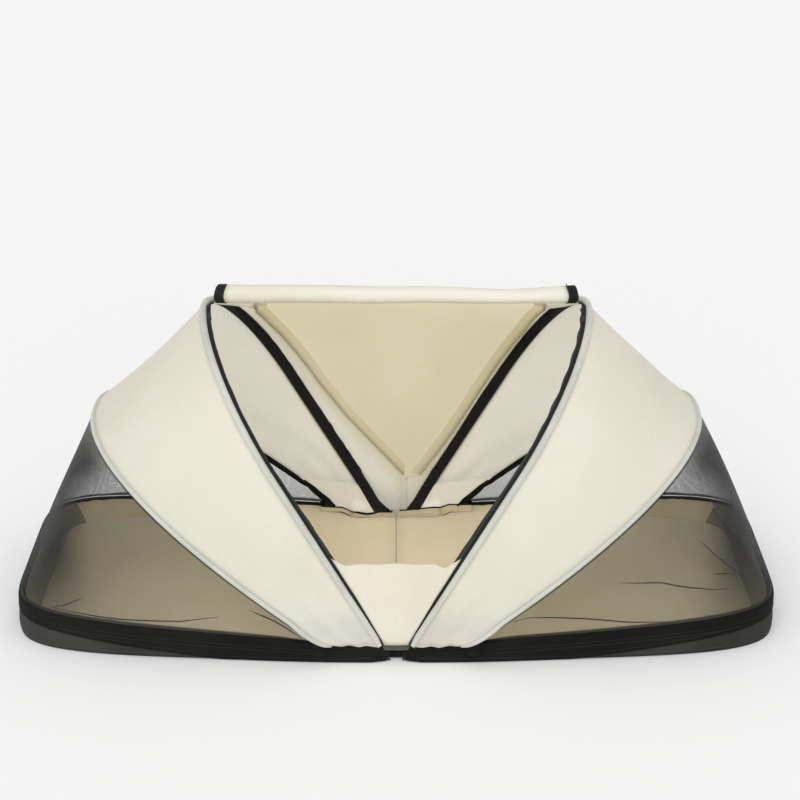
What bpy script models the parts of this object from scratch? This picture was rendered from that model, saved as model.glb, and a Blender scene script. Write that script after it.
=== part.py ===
# Baby travel tent: a book-folding base, two pairs of arched hoops on hub hinges,
# cloth shells, net sides, a rolled front door and a padded mattress in two halves.
# Metres, +Z up, +X along the length, front door towards -Y, origin under the middle.

import math

import bmesh
import bpy
from mathutils import Matrix, Vector

# Overall sizes
BASE_LENGTH = 1.200
BASE_WIDTH = 0.574
CORNER_POWER = 7.0
RIM_BOW_SHARE = 0.105

# Floor, wall and hem of the base
FLOOR_THICKNESS = 0.002
HEM_THICKNESS = 0.010
HEM_HEIGHT = 0.020
HEM_LIFT = 0.0005
HEM_RISE = 0.040
HEM_EDGE_ROUND = 0.0035
HEM_NOTCH = 0.012
FLOOR_INSET = 0.002
WALL_THICKNESS = 0.002
WALL_INSET = 0.0035
WALL_START = 0.060
STRIP_THICKNESS = 0.0012
STRIP_INSET = 0.012

# Steel rods and their pins
ROD_RADIUS = 0.0025
ROD_BELOW_HEM_TOP = 0.006
PIPING_RADIUS = 0.004
PIPING_WALL = 0.0012
EYE_RADIUS = 0.008
EYE_THICKNESS = 0.0058
PIN_RADIUS = 0.0022
PIN_PLAY = 0.0002
PIN_HEAD_RADIUS = 0.0042
PIN_HEAD_HEIGHT = 0.0014
ROD_START = 0.0048
PIPING_START = 0.016

# Hub plates
HUB_PIN_SPACING = 0.072
HUB_PIN_HEIGHT = 0.030
HUB_THICKNESS = 0.006
HUB_END_RADIUS = 0.011
HUB_WAIST = 0.007
HUB_INSET = 0.0353

# Upper hoops
UPPER_ANGLE = math.radians(59.1)
UPPER_REACH = 0.524
UPPER_LEG = 0.300
UPPER_DRAW_IN = 0.010
UPPER_POWER = 1.93

# Lower hoops and the clips that carry them
LOWER_PIN_X = 0.118
LOWER_PIN_HEIGHT = 0.034
LOWER_ANGLE = math.radians(37.1)
LOWER_REACH = 0.4584
LOWER_LEG = 0.030
LOWER_OUTSET = 0.0060
LOWER_POWER = 2.39
CLIP_LENGTH = 0.016
CLIP_TOP = 0.0065
CLIP_BELOW_ROD = 0.0055
CLIP_INNER = 0.0025

# Cloth
CLOTH = 0.0012
NET = 0.0010
SHELL_SAG = 0.003
NET_SAG = 0.002
FRONT_ZIP_WIDTH = 0.006
REAR_ZIP_WIDTH = 0.014
LINING_DEPTH = 0.009
LINING_BAND = 0.020
LINING_TIP_HEIGHT = 0.110
LINING_SLOPE = 0.84
LINING_FOOT_HEIGHT = 0.052
LOWER_PANEL_HEIGHT = 0.148
LOWER_PANEL_BOTTOM = 0.018
LOWER_PANEL_RIPPLE = 0.0025
REAR_DOOR_FOOT = 0.030

# Rolled door
ROLL_END_INSET = 0.0180
ROLL_RADIUS = 0.0148
ROLL_HOLE = 0.0040
ROLL_PITCH = 0.0040
ROLL_RISE = 0.0243
ROLL_FORWARD = 0.0125
ROLL_TAPE = 0.020

# Mattress
MATTRESS_THICKNESS = 0.0245
MATTRESS_CROWN = 0.004
MATTRESS_HUB_CLEARANCE = 0.003
MATTRESS_CUT_START = 0.078
MATTRESS_CUT_END = 0.100
MATTRESS_RIM_GAP = 0.014
MATTRESS_END_SHARE = 0.985
MATTRESS_SEAM = 0.0014
MATTRESS_EDGE = 0.010

# Zip sliders
SLIDER_LENGTH = 0.009
SLIDER_WIDTH = 0.008
SLIDER_HEIGHT = 0.0044
PULL_LENGTH = 0.014
PULL_WIDTH = 0.005
PULL_THICKNESS = 0.0012

# Fits and mesh fineness
GAP = 0.0003
STATIONS = 25
LEG_STRETCH_SHARE = 0.45
TUBE_STEPS = 2
RIM_STEPS = 26
CORNER_DRAW_SHARE = 0.5
PIN_STEPS = 12
SHELL_COLUMNS = 4

PIN_X = HUB_PIN_SPACING / 2
RIM_REACH = BASE_LENGTH / 2 - HEM_THICKNESS / 2
RIM_HALF = BASE_WIDTH / 2 - HEM_THICKNESS / 2
HEM_BOTTOM = FLOOR_THICKNESS + HEM_LIFT
HUB_OUTER_Y = BASE_WIDTH / 2 - HUB_INSET + HUB_THICKNESS / 2
HUB_INNER_Y = HUB_OUTER_Y - HUB_THICKNESS
UPPER_FOOT_Y = HUB_OUTER_Y + GAP + EYE_THICKNESS / 2
BASE_EYE_Y = HUB_INNER_Y - GAP - EYE_THICKNESS / 2
LOWER_HALF = BASE_WIDTH / 2 + LOWER_OUTSET
PIPING_BORE = PIPING_RADIUS - PIPING_WALL

LEFT, RIGHT = -1, 1
SIDES = ((LEFT, "left"), (RIGHT, "right"))
ENDS = ((-1, "front"), (1, "rear"))


def clear_scene():
    for item in list(bpy.data.objects):
        bpy.data.objects.remove(item, do_unlink=True)
    for group in (bpy.data.meshes, bpy.data.curves, bpy.data.materials):
        for block in list(group):
            group.remove(block)
    for group in list(bpy.data.collections):
        bpy.data.collections.remove(group)


clear_scene()
TENT = bpy.data.collections.new("baby_travel_tent")
CUTTERS = bpy.data.collections.new("cutters")
bpy.context.scene.collection.children.link(TENT)
bpy.context.scene.collection.children.link(CUTTERS)


def material(name, colour, roughness, metallic=0.0):
    mat = bpy.data.materials.new(name)
    mat.use_nodes = True
    shader = mat.node_tree.nodes["Principled BSDF"]
    shader.inputs["Base Color"].default_value = (*colour, 1.0)
    shader.inputs["Roughness"].default_value = roughness
    shader.inputs["Metallic"].default_value = metallic
    mat.diffuse_color = (*colour, 1.0)
    return mat


CREAM = (0.84, 0.82, 0.72)
DOOR_CREAM = (0.80, 0.75, 0.58)
LINING_GREY = (0.76, 0.75, 0.69)
PIPING_GREY = (0.66, 0.68, 0.66)
HEM_BLACK = (0.020, 0.020, 0.021)
WALL_GREY = (0.060, 0.061, 0.063)
NET_BLACK = (0.030, 0.030, 0.032)
ZIP_BLACK = (0.015, 0.015, 0.016)
MATTRESS_TAN = (0.58, 0.47, 0.33)
STEEL = (0.55, 0.56, 0.58)
HUB_PLASTIC = (0.05, 0.05, 0.055)


def finish(item, name, colour, roughness=0.8, metallic=0.0):
    item.name = name
    item.data.name = name
    item.data.materials.clear()
    item.data.materials.append(material(name + "_look", colour, roughness, metallic))
    move_to(item, TENT)
    return item


def move_to(item, group):
    for old in list(item.users_collection):
        old.objects.unlink(item)
    group.objects.link(item)


def as_cutter(item, name):
    item.name = name
    item.hide_render = True
    item.display_type = "WIRE"
    move_to(item, CUTTERS)
    return item


def boolean(item, other, operation):
    step = item.modifiers.new(operation.lower() + "_" + other.name, "BOOLEAN")
    step.operation = operation
    step.solver = "EXACT"
    step.object = other


def tube(points, radius, capped=True):
    data = bpy.data.curves.new("tube", "CURVE")
    data.dimensions = "3D"
    data.twist_mode = "Z_UP"
    data.bevel_depth = radius
    data.bevel_resolution = TUBE_STEPS
    data.use_fill_caps = capped
    spline = data.splines.new("POLY")
    spline.points.add(len(points) - 1)
    for slot, point in zip(spline.points, points):
        slot.co = (*point, 1.0)
    item = bpy.data.objects.new("tube", data)
    bpy.context.scene.collection.objects.link(item)
    return item


def plate(outline, thickness, placing):
    # a flat outline, extruded by half its thickness to each side
    data = bpy.data.curves.new("plate", "CURVE")
    data.dimensions = "2D"
    data.fill_mode = "BOTH"
    data.extrude = thickness / 2
    spline = data.splines.new("POLY")
    spline.points.add(len(outline) - 1)
    for slot, point in zip(spline.points, outline):
        slot.co = (point[0], point[1], 0.0, 1.0)
    spline.use_cyclic_u = True
    item = bpy.data.objects.new("plate", data)
    bpy.context.scene.collection.objects.link(item)
    item.matrix_world = placing
    return item


def as_mesh(item):
    # a curve turned into one welded mesh at the same place
    bpy.context.view_layer.update()
    seen = item.evaluated_get(bpy.context.evaluated_depsgraph_get())
    data = bpy.data.meshes.new_from_object(seen)
    bm = bmesh.new()
    bm.from_mesh(data)
    bmesh.ops.remove_doubles(bm, verts=bm.verts, dist=1e-6)
    bmesh.ops.recalc_face_normals(bm, faces=bm.faces)
    bm.to_mesh(data)
    bm.free()
    solid = bpy.data.objects.new(item.name, data)
    solid.matrix_world = item.matrix_world.copy()
    bpy.context.scene.collection.objects.link(solid)
    bpy.data.objects.remove(item, do_unlink=True)
    return solid


def set_origin(item, point):
    # the object's origin goes to a point and its shape stays where it is
    bpy.context.view_layer.update()
    shift = Matrix.Translation(Vector(point))
    item.data.transform(shift.inverted() @ item.matrix_world)
    item.matrix_world = shift


def cylinder(radius, depth, centre, sides=14):
    # a cylinder along Y
    bpy.ops.mesh.primitive_cylinder_add(
        vertices=sides, radius=radius, depth=depth, location=centre,
        rotation=(math.pi / 2, 0, 0))
    return bpy.context.active_object


def block(size, centre):
    bpy.ops.mesh.primitive_cube_add(size=1, location=centre)
    item = bpy.context.active_object
    item.scale = size
    bpy.ops.object.transform_apply(location=False, rotation=False, scale=True)
    return item


def sheet(rows, thickness, offset=0.0, skip=None):
    # an open cloth surface through rows of points, thickened by Solidify
    bm = bmesh.new()
    grid = [[bm.verts.new(point) for point in row] for row in rows]
    for i in range(len(grid) - 1):
        for j in range(len(grid[0]) - 1):
            if skip and skip(i, j):
                continue
            bm.faces.new((grid[i][j], grid[i][j + 1], grid[i + 1][j + 1], grid[i + 1][j]))
    bmesh.ops.remove_doubles(bm, verts=bm.verts, dist=1e-5)
    bmesh.ops.dissolve_degenerate(bm, edges=bm.edges, dist=1e-6)
    bmesh.ops.recalc_face_normals(bm, faces=bm.faces)
    data = bpy.data.meshes.new("sheet")
    bm.to_mesh(data)
    bm.free()
    item = bpy.data.objects.new("sheet", data)
    bpy.context.scene.collection.objects.link(item)
    solid = item.modifiers.new("cloth", "SOLIDIFY")
    solid.thickness = thickness
    solid.offset = offset
    return item


def smooth(item, angle=35):
    item.data.shade_smooth()
    item.data.set_sharp_from_angle(angle=math.radians(angle))


def superellipse(reach, half, power, t):
    across = -half * math.copysign(abs(math.cos(t)) ** (2 / power), math.cos(t))
    return reach * abs(math.sin(t)) ** (2 / power), across


def resample(points, count):
    # stations spread by arc length, closer together round the crown
    lengths = [0.0]
    for a, b in zip(points, points[1:]):
        lengths.append(lengths[-1] + (b - a).length)
    stations = []
    k = 0
    for i in range(count):
        v = 2 * i / (count - 1) - 1
        share = 0.5 + 0.5 * (v * (1 - LEG_STRETCH_SHARE) + LEG_STRETCH_SHARE * v ** 3)
        target = share * lengths[-1]
        while k < len(points) - 2 and lengths[k + 1] < target:
            k += 1
        run = lengths[k + 1] - lengths[k]
        part = (target - lengths[k]) / run if run > 0 else 0.0
        stations.append(points[k].lerp(points[k + 1], min(max(part, 0.0), 1.0)))
    return stations


def upper_leg_y(r):
    return UPPER_FOOT_Y - UPPER_DRAW_IN * min(r / UPPER_LEG, 1.0)


def upper_point(side, r, y):
    return Vector((side * (PIN_X + r * math.cos(UPPER_ANGLE)), y,
                   HUB_PIN_HEIGHT + r * math.sin(UPPER_ANGLE)))


def lower_point(side, r, y):
    return Vector((side * (LOWER_PIN_X + r * math.cos(LOWER_ANGLE)), y,
                   LOWER_PIN_HEIGHT + r * math.sin(LOWER_ANGLE)))


def upper_stations(side):
    crown_half = upper_leg_y(UPPER_LEG)
    fine = [upper_point(side, PIPING_START, -upper_leg_y(PIPING_START))]
    for i in range(241):
        r, y = superellipse(UPPER_REACH - UPPER_LEG, crown_half, UPPER_POWER, math.pi * i / 240)
        fine.append(upper_point(side, UPPER_LEG + r, y))
    fine.append(upper_point(side, PIPING_START, upper_leg_y(PIPING_START)))
    return resample(fine, STATIONS)


def lower_stations(side):
    fine = [lower_point(side, PIPING_START, -LOWER_HALF)]
    for i in range(241):
        r, y = superellipse(LOWER_REACH - LOWER_LEG, LOWER_HALF, LOWER_POWER, math.pi * i / 240)
        fine.append(lower_point(side, LOWER_LEG + r, y))
    fine.append(lower_point(side, PIPING_START, LOWER_HALF))
    return resample(fine, STATIONS)


def hem_middle_z(x):
    return HEM_BOTTOM + HEM_HEIGHT / 2 + HEM_RISE * abs(x) / (BASE_LENGTH / 2)


def hem_top_z(x):
    return hem_middle_z(x) + HEM_HEIGHT / 2


def rod_z(x):
    return hem_top_z(x) - ROD_BELOW_HEM_TOP


def bowed(x, reach):
    # the long sides bow out towards the hubs
    return 1 - RIM_BOW_SHARE * (x / reach) ** 2


def rim_y(x, inset=0.0):
    reach, half = RIM_REACH - inset, RIM_HALF - inset
    corner = max(1 - (abs(x) / reach) ** CORNER_POWER, 0.0) ** (1 / CORNER_POWER)
    return half * corner * bowed(x, reach)


def rim_point(reach, half, t):
    # turned round the rim from front to rear, with points drawn towards its corners
    turn = t + CORNER_DRAW_SHARE * math.sin(4 * t) / 4
    across, along = abs(math.cos(turn)), math.sin(turn)
    scale = (along ** CORNER_POWER + across ** CORNER_POWER) ** (-1 / CORNER_POWER)
    x = reach * along * scale
    return x, -half * math.cos(turn) * scale * bowed(x, reach)


def rim_outline(side, start, inset=0.0, count=RIM_STEPS):
    # the rim seen from above, from the front side round the end to the rear
    reach, half = RIM_REACH - inset, RIM_HALF - inset
    points = [Vector((side * start, -rim_y(start, inset), 0))]
    for i in range(1, count):
        x, y = rim_point(reach, half, math.pi * i / count)
        if x > start + 0.03:
            points.append(Vector((side * x, y, 0)))
    points.append(Vector((side * start, rim_y(start, inset), 0)))
    return points


def rim_stations(side):
    # stations along the top of the hem that match the lower hoop's
    start = LOWER_PIN_X + PIPING_START * math.cos(LOWER_ANGLE)
    fine = rim_outline(side, start, 0.0, 400)
    for point in fine:
        point.z = hem_top_z(point.x)
    return resample(fine, STATIONS)


def tangents(path):
    found = []
    for i in range(len(path)):
        a, b = path[max(i - 1, 0)], path[min(i + 1, len(path) - 1)]
        found.append((b - a).normalized())
    return found


def pull_back(path, others, radius):
    # the edge of a cloth that leaves a piped rod towards the other edge
    edge = []
    for point, other, along in zip(path, others, tangents(path)):
        way = (other - point).normalized()
        slant = max(way.cross(along).length, 0.35)
        edge.append(point + way * (radius / slant))
    return edge


def panel_between(edge_a, edge_b, columns, thickness, sag, centre):
    # ruled cloth from edge to edge, drawn in a little towards the inside
    rows = []
    last = len(edge_a) - 1
    for i, (a, b) in enumerate(zip(edge_a, edge_b)):
        row = []
        for j in range(columns + 1):
            v = j / columns
            point = a.lerp(b, v)
            inward = (centre - point).normalized()
            depth = sag * math.sin(math.pi * v) * math.sin(math.pi * i / last)
            row.append(point + inward * depth)
        rows.append(row)
    return sheet(rows, thickness)


def eye(name, item, centre, y):
    # a coined flat end with a bore, joined to its rod
    disc = cylinder(EYE_RADIUS, EYE_THICKNESS, (centre[0], y, centre[1]))
    boolean(item, as_cutter(disc, name + "_disc"), "UNION")
    bore = cylinder(PIN_RADIUS + PIN_PLAY, EYE_THICKNESS * 3, (centre[0], y, centre[1]))
    boolean(item, as_cutter(bore, name + "_bore"), "DIFFERENCE")


def make_upper_hoop(side, word):
    path = upper_stations(side)
    feet = [upper_point(side, ROD_START, -UPPER_FOOT_Y), upper_point(side, ROD_START, UPPER_FOOT_Y)]
    rod = as_mesh(tube([feet[0]] + path + [feet[1]], ROD_RADIUS))
    set_origin(rod, (side * PIN_X, 0, HUB_PIN_HEIGHT))
    finish(rod, "upper_hoop_rod_" + word, STEEL, 0.35, 1.0)
    for end, label in ENDS:
        eye("upper_" + label + "_eye_" + word, rod, (side * PIN_X, HUB_PIN_HEIGHT),
            end * UPPER_FOOT_Y)
    smooth(rod)
    piping(path, "upper_hoop_piping_" + word, (side * PIN_X, 0, HUB_PIN_HEIGHT))


def make_lower_hoop(side, word):
    path = lower_stations(side)
    feet = [lower_point(side, ROD_START, -LOWER_HALF), lower_point(side, ROD_START, LOWER_HALF)]
    rod = as_mesh(tube([feet[0]] + path + [feet[1]], ROD_RADIUS))
    set_origin(rod, (side * LOWER_PIN_X, 0, LOWER_PIN_HEIGHT))
    finish(rod, "lower_hoop_rod_" + word, STEEL, 0.35, 1.0)
    for end, label in ENDS:
        eye("lower_" + label + "_eye_" + word, rod, (side * LOWER_PIN_X, LOWER_PIN_HEIGHT),
            end * LOWER_HALF)
    smooth(rod)
    piping(path, "lower_hoop_piping_" + word, (side * LOWER_PIN_X, 0, LOWER_PIN_HEIGHT))


def piping(path, name, origin):
    # a cloth tube over the rod, open at both ends
    item = as_mesh(tube(path, PIPING_RADIUS, capped=False))
    wall = item.modifiers.new("wall", "SOLIDIFY")
    wall.thickness = PIPING_WALL
    wall.offset = -1.0
    set_origin(item, origin)
    finish(item, name, PIPING_GREY, 0.85)
    smooth(item)


def base_rod_path(side):
    # from the eye inside the hub, out to the hem and round the end to the other eye
    outline = rim_outline(side, LOWER_PIN_X - CLIP_LENGTH, 0.0)
    for point in outline:
        point.z = rod_z(point.x)
    leg = []
    away = PIN_X + HUB_END_RADIUS + ROD_RADIUS
    leg.append((PIN_X + ROD_START, BASE_EYE_Y, HUB_PIN_HEIGHT - ROD_START * 0.6))
    leg.append((away, BASE_EYE_Y, rod_z(away) + 0.003))
    joined = LOWER_PIN_X - CLIP_LENGTH * 1.8
    for share in (0.35, 0.7, 1.0):
        x = away + (joined - away) * share
        ease = share * share * (3 - 2 * share)
        leg.append((x, BASE_EYE_Y + (rim_y(x) - BASE_EYE_Y) * ease, rod_z(x) + 0.003 * (1 - share)))
    front = [Vector((side * x, -y, z)) for x, y, z in leg]
    rear = [Vector((side * x, y, z)) for x, y, z in reversed(leg)]
    return front + outline + rear


def make_base_frame(side, word):
    path = base_rod_path(side)
    pin = (side * PIN_X, 0, HUB_PIN_HEIGHT)
    rod = as_mesh(tube(path, ROD_RADIUS))
    set_origin(rod, pin)
    finish(rod, "base_rod_" + word, STEEL, 0.35, 1.0)
    for end, label in ENDS:
        eye("base_" + label + "_eye_" + word, rod, (side * PIN_X, HUB_PIN_HEIGHT), end * BASE_EYE_Y)
    smooth(rod)

    outline = rim_outline(side, HEM_NOTCH / 2)
    low = HEM_HEIGHT / 2
    rows = [[p + Vector((0, 0, hem_middle_z(p.x) - low)) for p in outline],
            [p + Vector((0, 0, hem_middle_z(p.x) + low)) for p in outline]]
    hem = sheet(rows, HEM_THICKNESS)
    hem.modifiers["cloth"].use_even_offset = True
    soft = hem.modifiers.new("rounded", "BEVEL")
    soft.width = HEM_EDGE_ROUND
    soft.segments = 2
    soft.angle_limit = math.radians(50)
    set_origin(hem, pin)
    finish(hem, "base_hem_" + word, HEM_BLACK, 0.85)
    channel = as_cutter(as_mesh(tube(path, PIPING_BORE)), "hem_channel_" + word)
    boolean(hem, channel, "DIFFERENCE")
    for end, label in ENDS:
        pocket = block((CLIP_LENGTH + 4 * GAP, HEM_THICKNESS * 2, HEM_HEIGHT),
                       (side * LOWER_PIN_X, end * rim_y(LOWER_PIN_X),
                        clip_bottom() - 2 * GAP + HEM_HEIGHT / 2))
        boolean(hem, as_cutter(pocket, "hem_pocket_" + label + "_" + word), "DIFFERENCE")
    smooth(hem)
    make_wall_and_floor(side, word, pin)
    for end, label in ENDS:
        make_clip(side, word, end, label, path)


def clip_bottom():
    return rod_z(LOWER_PIN_X) - CLIP_BELOW_ROD


def make_clip(side, word, end, label, path):
    # a moulded saddle that grips the base rod and carries the lower hoop's pin
    outer = LOWER_HALF - EYE_THICKNESS / 2 - GAP
    inner = RIM_HALF - HEM_THICKNESS / 2 - CLIP_INNER
    bottom = clip_bottom()
    top = LOWER_PIN_HEIGHT + CLIP_TOP
    clip = block((CLIP_LENGTH, outer - inner, top - bottom),
                 (side * LOWER_PIN_X, end * (outer + inner) / 2, (top + bottom) / 2))
    set_origin(clip, (side * LOWER_PIN_X, end * (outer + inner) / 2, LOWER_PIN_HEIGHT))
    finish(clip, "lower_hoop_clip_" + label + "_" + word, HUB_PLASTIC, 0.5)
    edge = clip.modifiers.new("rounded", "BEVEL")
    edge.width = 0.0012
    edge.segments = 1
    near = [p for p in path if abs(abs(p.x) - LOWER_PIN_X) < 0.2 and p.y * end > 0]
    near = [p for p in near if abs(p.x) > LOWER_PIN_X - CLIP_LENGTH * 2]
    grip = as_cutter(as_mesh(tube(near, PIPING_BORE)), "clip_grip_" + label + "_" + word)
    boolean(clip, grip, "DIFFERENCE")
    bore = cylinder(PIN_RADIUS + PIN_PLAY, 0.06, (side * LOWER_PIN_X, end * outer, LOWER_PIN_HEIGHT))
    boolean(clip, as_cutter(bore, "clip_bore_" + label + "_" + word), "DIFFERENCE")


def make_wall_and_floor(side, word, pin):
    edge = FLOOR_INSET - HEM_THICKNESS / 2
    outline = rim_outline(side, PIN_X + GAP, edge)
    floor = as_mesh(plate([(p.x, p.y) for p in outline], FLOOR_THICKNESS,
                          Matrix.Translation((0, 0, FLOOR_THICKNESS / 2))))
    set_origin(floor, pin)
    finish(floor, "base_floor_" + word, WALL_GREY, 0.85)

    around = rim_outline(side, WALL_START, WALL_INSET - HEM_THICKNESS / 2)
    low = FLOOR_THICKNESS + GAP
    rows = [[p + Vector((0, 0, low)) for p in around],
            [p + Vector((0, 0, hem_middle_z(p.x) - HEM_HEIGHT / 2 - GAP)) for p in around]]
    wall = sheet(rows, WALL_THICKNESS)
    set_origin(wall, pin)
    finish(wall, "base_wall_" + word, WALL_GREY, 0.85)
    smooth(wall)


def hub_outline():
    # two round ends joined by a drawn-in waist
    count = 7
    points = []
    for middle, start in ((PIN_X, -90), (-PIN_X, 90)):
        for i in range(count + 1):
            turn = math.radians(start + 180 * i / count)
            points.append((middle + HUB_END_RADIUS * math.cos(turn), HUB_END_RADIUS * math.sin(turn)))
        sign = 1 if middle > 0 else -1
        for share in (0.6, 0.2, -0.2, -0.6):
            points.append((sign * PIN_X * share, sign * HUB_WAIST))
    return points


def make_hubs():
    standing = Matrix.Rotation(math.pi / 2, 4, "X")
    for end, label in ENDS:
        y = end * (HUB_OUTER_Y + HUB_INNER_Y) / 2
        place = Matrix.Translation((0, y, HUB_PIN_HEIGHT)) @ standing
        hub = as_mesh(plate(hub_outline(), HUB_THICKNESS, place))
        set_origin(hub, (0, y, HUB_PIN_HEIGHT))
        finish(hub, label + "_hub", HUB_PLASTIC, 0.5)
        for side, word in SIDES:
            bore = cylinder(PIN_RADIUS + PIN_PLAY, HUB_THICKNESS * 3, (side * PIN_X, y, HUB_PIN_HEIGHT))
            boolean(hub, as_cutter(bore, label + "_hub_bore_" + word), "DIFFERENCE")
            outer = UPPER_FOOT_Y + EYE_THICKNESS / 2 + GAP
            inner = BASE_EYE_Y - EYE_THICKNESS / 2 - GAP
            rivet(label + "_hub_pin_" + word, side * PIN_X, HUB_PIN_HEIGHT, end, inner, outer)
    for end, label in ENDS:
        for side, word in SIDES:
            outer = LOWER_HALF + EYE_THICKNESS / 2 + GAP
            inner = RIM_HALF - HEM_THICKNESS / 2 - CLIP_INNER - GAP
            rivet("lower_" + label + "_pin_" + word, side * LOWER_PIN_X, LOWER_PIN_HEIGHT,
                  end, inner, outer)


def rivet(name, x, z, end, inner, outer):
    # a turned rivet whose shank runs between two low domed heads
    low, high = inner - PIN_HEAD_HEIGHT, outer + PIN_HEAD_HEIGHT
    profile = [(0, high), (PIN_HEAD_RADIUS * 0.6, high), (PIN_HEAD_RADIUS, outer),
               (PIN_RADIUS, outer), (PIN_RADIUS, inner), (PIN_HEAD_RADIUS, inner),
               (PIN_HEAD_RADIUS * 0.6, low), (0, low)]
    middle = (inner + outer) / 2
    data = bpy.data.meshes.new(name)
    bm = bmesh.new()
    verts = [bm.verts.new((r, 0, h - middle)) for r, h in profile]
    for a, b in zip(verts, verts[1:]):
        bm.edges.new((a, b))
    bm.to_mesh(data)
    bm.free()
    item = bpy.data.objects.new(name, data)
    bpy.context.scene.collection.objects.link(item)
    turn = item.modifiers.new("turned", "SCREW")
    turn.steps = PIN_STEPS
    turn.render_steps = PIN_STEPS
    turn.use_merge_vertices = True
    turn.merge_threshold = 0.00001
    item.rotation_euler = (-math.pi / 2, 0, 0)
    item.location = (x, end * middle, z)
    if end < 0:
        item.rotation_euler = (math.pi / 2, 0, 0)
    finish(item, name, STEEL, 0.3, 1.0)


def make_fold_strip():
    half = rim_y(0) - STRIP_INSET
    outline = [(-PIN_X + GAP, -half), (PIN_X - GAP, -half), (PIN_X - GAP, half), (-PIN_X + GAP, half)]
    strip = as_mesh(plate(outline, STRIP_THICKNESS, Matrix.Translation((0, 0, STRIP_THICKNESS / 2))))
    finish(strip, "floor_fold_strip", WALL_GREY, 0.85)


def make_cloth(side, word):
    upper = upper_stations(side)
    lower = lower_stations(side)
    rim = rim_stations(side)
    free = PIPING_RADIUS + GAP + CLOTH / 2
    centre = Vector((side * BASE_LENGTH / 5, 0, UPPER_REACH / 5))
    shell = panel_between(pull_back(upper, lower, free), pull_back(lower, upper, free),
                          SHELL_COLUMNS, CLOTH, SHELL_SAG, centre)
    set_origin(shell, (side * PIN_X, 0, HUB_PIN_HEIGHT))
    finish(shell, "shell_" + word, CREAM, 0.75)
    smooth(shell, 60)

    seam = [p + Vector((0, 0, GAP + NET / 2)) for p in rim]
    net = panel_between(pull_back(lower, rim, free), seam, SHELL_COLUMNS - 1, NET, NET_SAG, centre)
    set_origin(net, (side * PIN_X, 0, HUB_PIN_HEIGHT))
    finish(net, "side_net_" + word, NET_BLACK, 0.7)
    smooth(net, 60)


def door_edge(point, side, clear):
    # a point beside the upper piping, on the inner side of the hoop
    return Vector((point.x - side * clear, point.y, point.z))


def zip_rows(points, side, width):
    near = PIPING_RADIUS / math.sin(UPPER_ANGLE) + 2 * GAP
    return [[door_edge(p, side, near), door_edge(p, side, near + width)] for p in points]


def make_zips(side, word):
    upper = upper_stations(side)
    middle = STATIONS // 2
    front = [upper_point(side, REAR_DOOR_FOOT, -upper_leg_y(REAR_DOOR_FOOT))]
    front += [p for p in upper[:middle] if p.z > front[0].z + 0.02]
    rear = [p for p in upper[middle + 1:] if p.z > front[0].z + 0.02]
    rear = [upper[middle]] + rear + [upper_point(side, REAR_DOOR_FOOT, upper_leg_y(REAR_DOOR_FOOT))]
    front_zip = sheet(zip_rows(front, side, FRONT_ZIP_WIDTH), CLOTH)
    finish(front_zip, "front_zip_" + word, ZIP_BLACK, 0.6)
    rear_rows = zip_rows(rear, side, REAR_ZIP_WIDTH)
    last = rear_rows[-1]
    narrow = min(REAR_ZIP_WIDTH, abs(last[0].x) - 4 * GAP)
    last[1] = Vector((last[0].x - side * narrow, last[0].y, last[0].z))
    rear_zip = sheet(rear_rows, CLOTH)
    finish(rear_zip, "rear_zip_" + word, ZIP_BLACK, 0.6)
    for item in (front_zip, rear_zip):
        set_origin(item, (side * PIN_X, 0, HUB_PIN_HEIGHT))
        smooth(item, 60)
    return front, rear


def make_slider(name, side, a, b, width, over_edge):
    # a slider body with a flat pull: its slot runs over the tape's free edge,
    # or, on a closed zip, it sits on the outer face of the teeth
    body = block((SLIDER_WIDTH, SLIDER_LENGTH, SLIDER_HEIGHT), (0, 0, 0))
    edge = body.modifiers.new("rounded", "BEVEL")
    edge.width = 0.0010
    edge.segments = 1
    finish(body, name, ZIP_BLACK, 0.35)
    slot = as_cutter(block((SLIDER_WIDTH * 2, SLIDER_LENGTH * 2, CLOTH + 2 * GAP), (0, 0, 0)),
                     name + "_slot")
    slot.location.x = SLIDER_WIDTH + SLIDER_WIDTH * 0.25 - SLIDER_WIDTH / 2
    pull = as_cutter(block((PULL_WIDTH, PULL_LENGTH, PULL_THICKNESS), (0, 0, 0)), name + "_pull")
    pull.location = (-SLIDER_WIDTH * 0.1, -PULL_LENGTH / 2 - SLIDER_LENGTH / 4,
                     SLIDER_HEIGHT / 2 - PULL_THICKNESS / 4)
    boolean(body, pull, "UNION")
    if over_edge:
        boolean(body, slot, "DIFFERENCE")
    along = (b - a).normalized()
    out = Vector((side, 0, 0))
    up = out.cross(along).normalized()
    if up.z < 0:
        up = -up
    across = along.cross(up).normalized()
    reach = PIPING_RADIUS / math.sin(UPPER_ANGLE) + 2 * GAP + width
    if over_edge:
        spot = (a + b) / 2 - Vector((side * (reach - SLIDER_WIDTH * 0.2), 0, 0))
    else:
        spot = (a + b) / 2 - Vector((side * (reach - width / 2), 0, 0))
        spot += up * (CLOTH / 2 + GAP + SLIDER_HEIGHT / 2)
    if across.x * side < 0:
        across, along = -across, -along
    turn = Matrix((across, along, up)).transposed().to_4x4()
    place = Matrix.Translation(spot) @ turn
    for item in (body, slot, pull):
        item.matrix_world = place @ item.matrix_basis


def leg_height(z):
    # the distance along the straight upper leg at a height
    return (z - HUB_PIN_HEIGHT) / math.sin(UPPER_ANGLE)


def tucked_y(z):
    # the cloth follows the legs and passes outside the hub at the bottom
    outside = HUB_OUTER_Y + EYE_THICKNESS + 3 * GAP + PIN_HEAD_HEIGHT + CLOTH
    r = leg_height(z)
    tuck = min(max((r - 0.02) / 0.05, 0.0), 1.0)
    return outside * (1 - tuck) + upper_leg_y(max(r, 0.0)) * tuck


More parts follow.
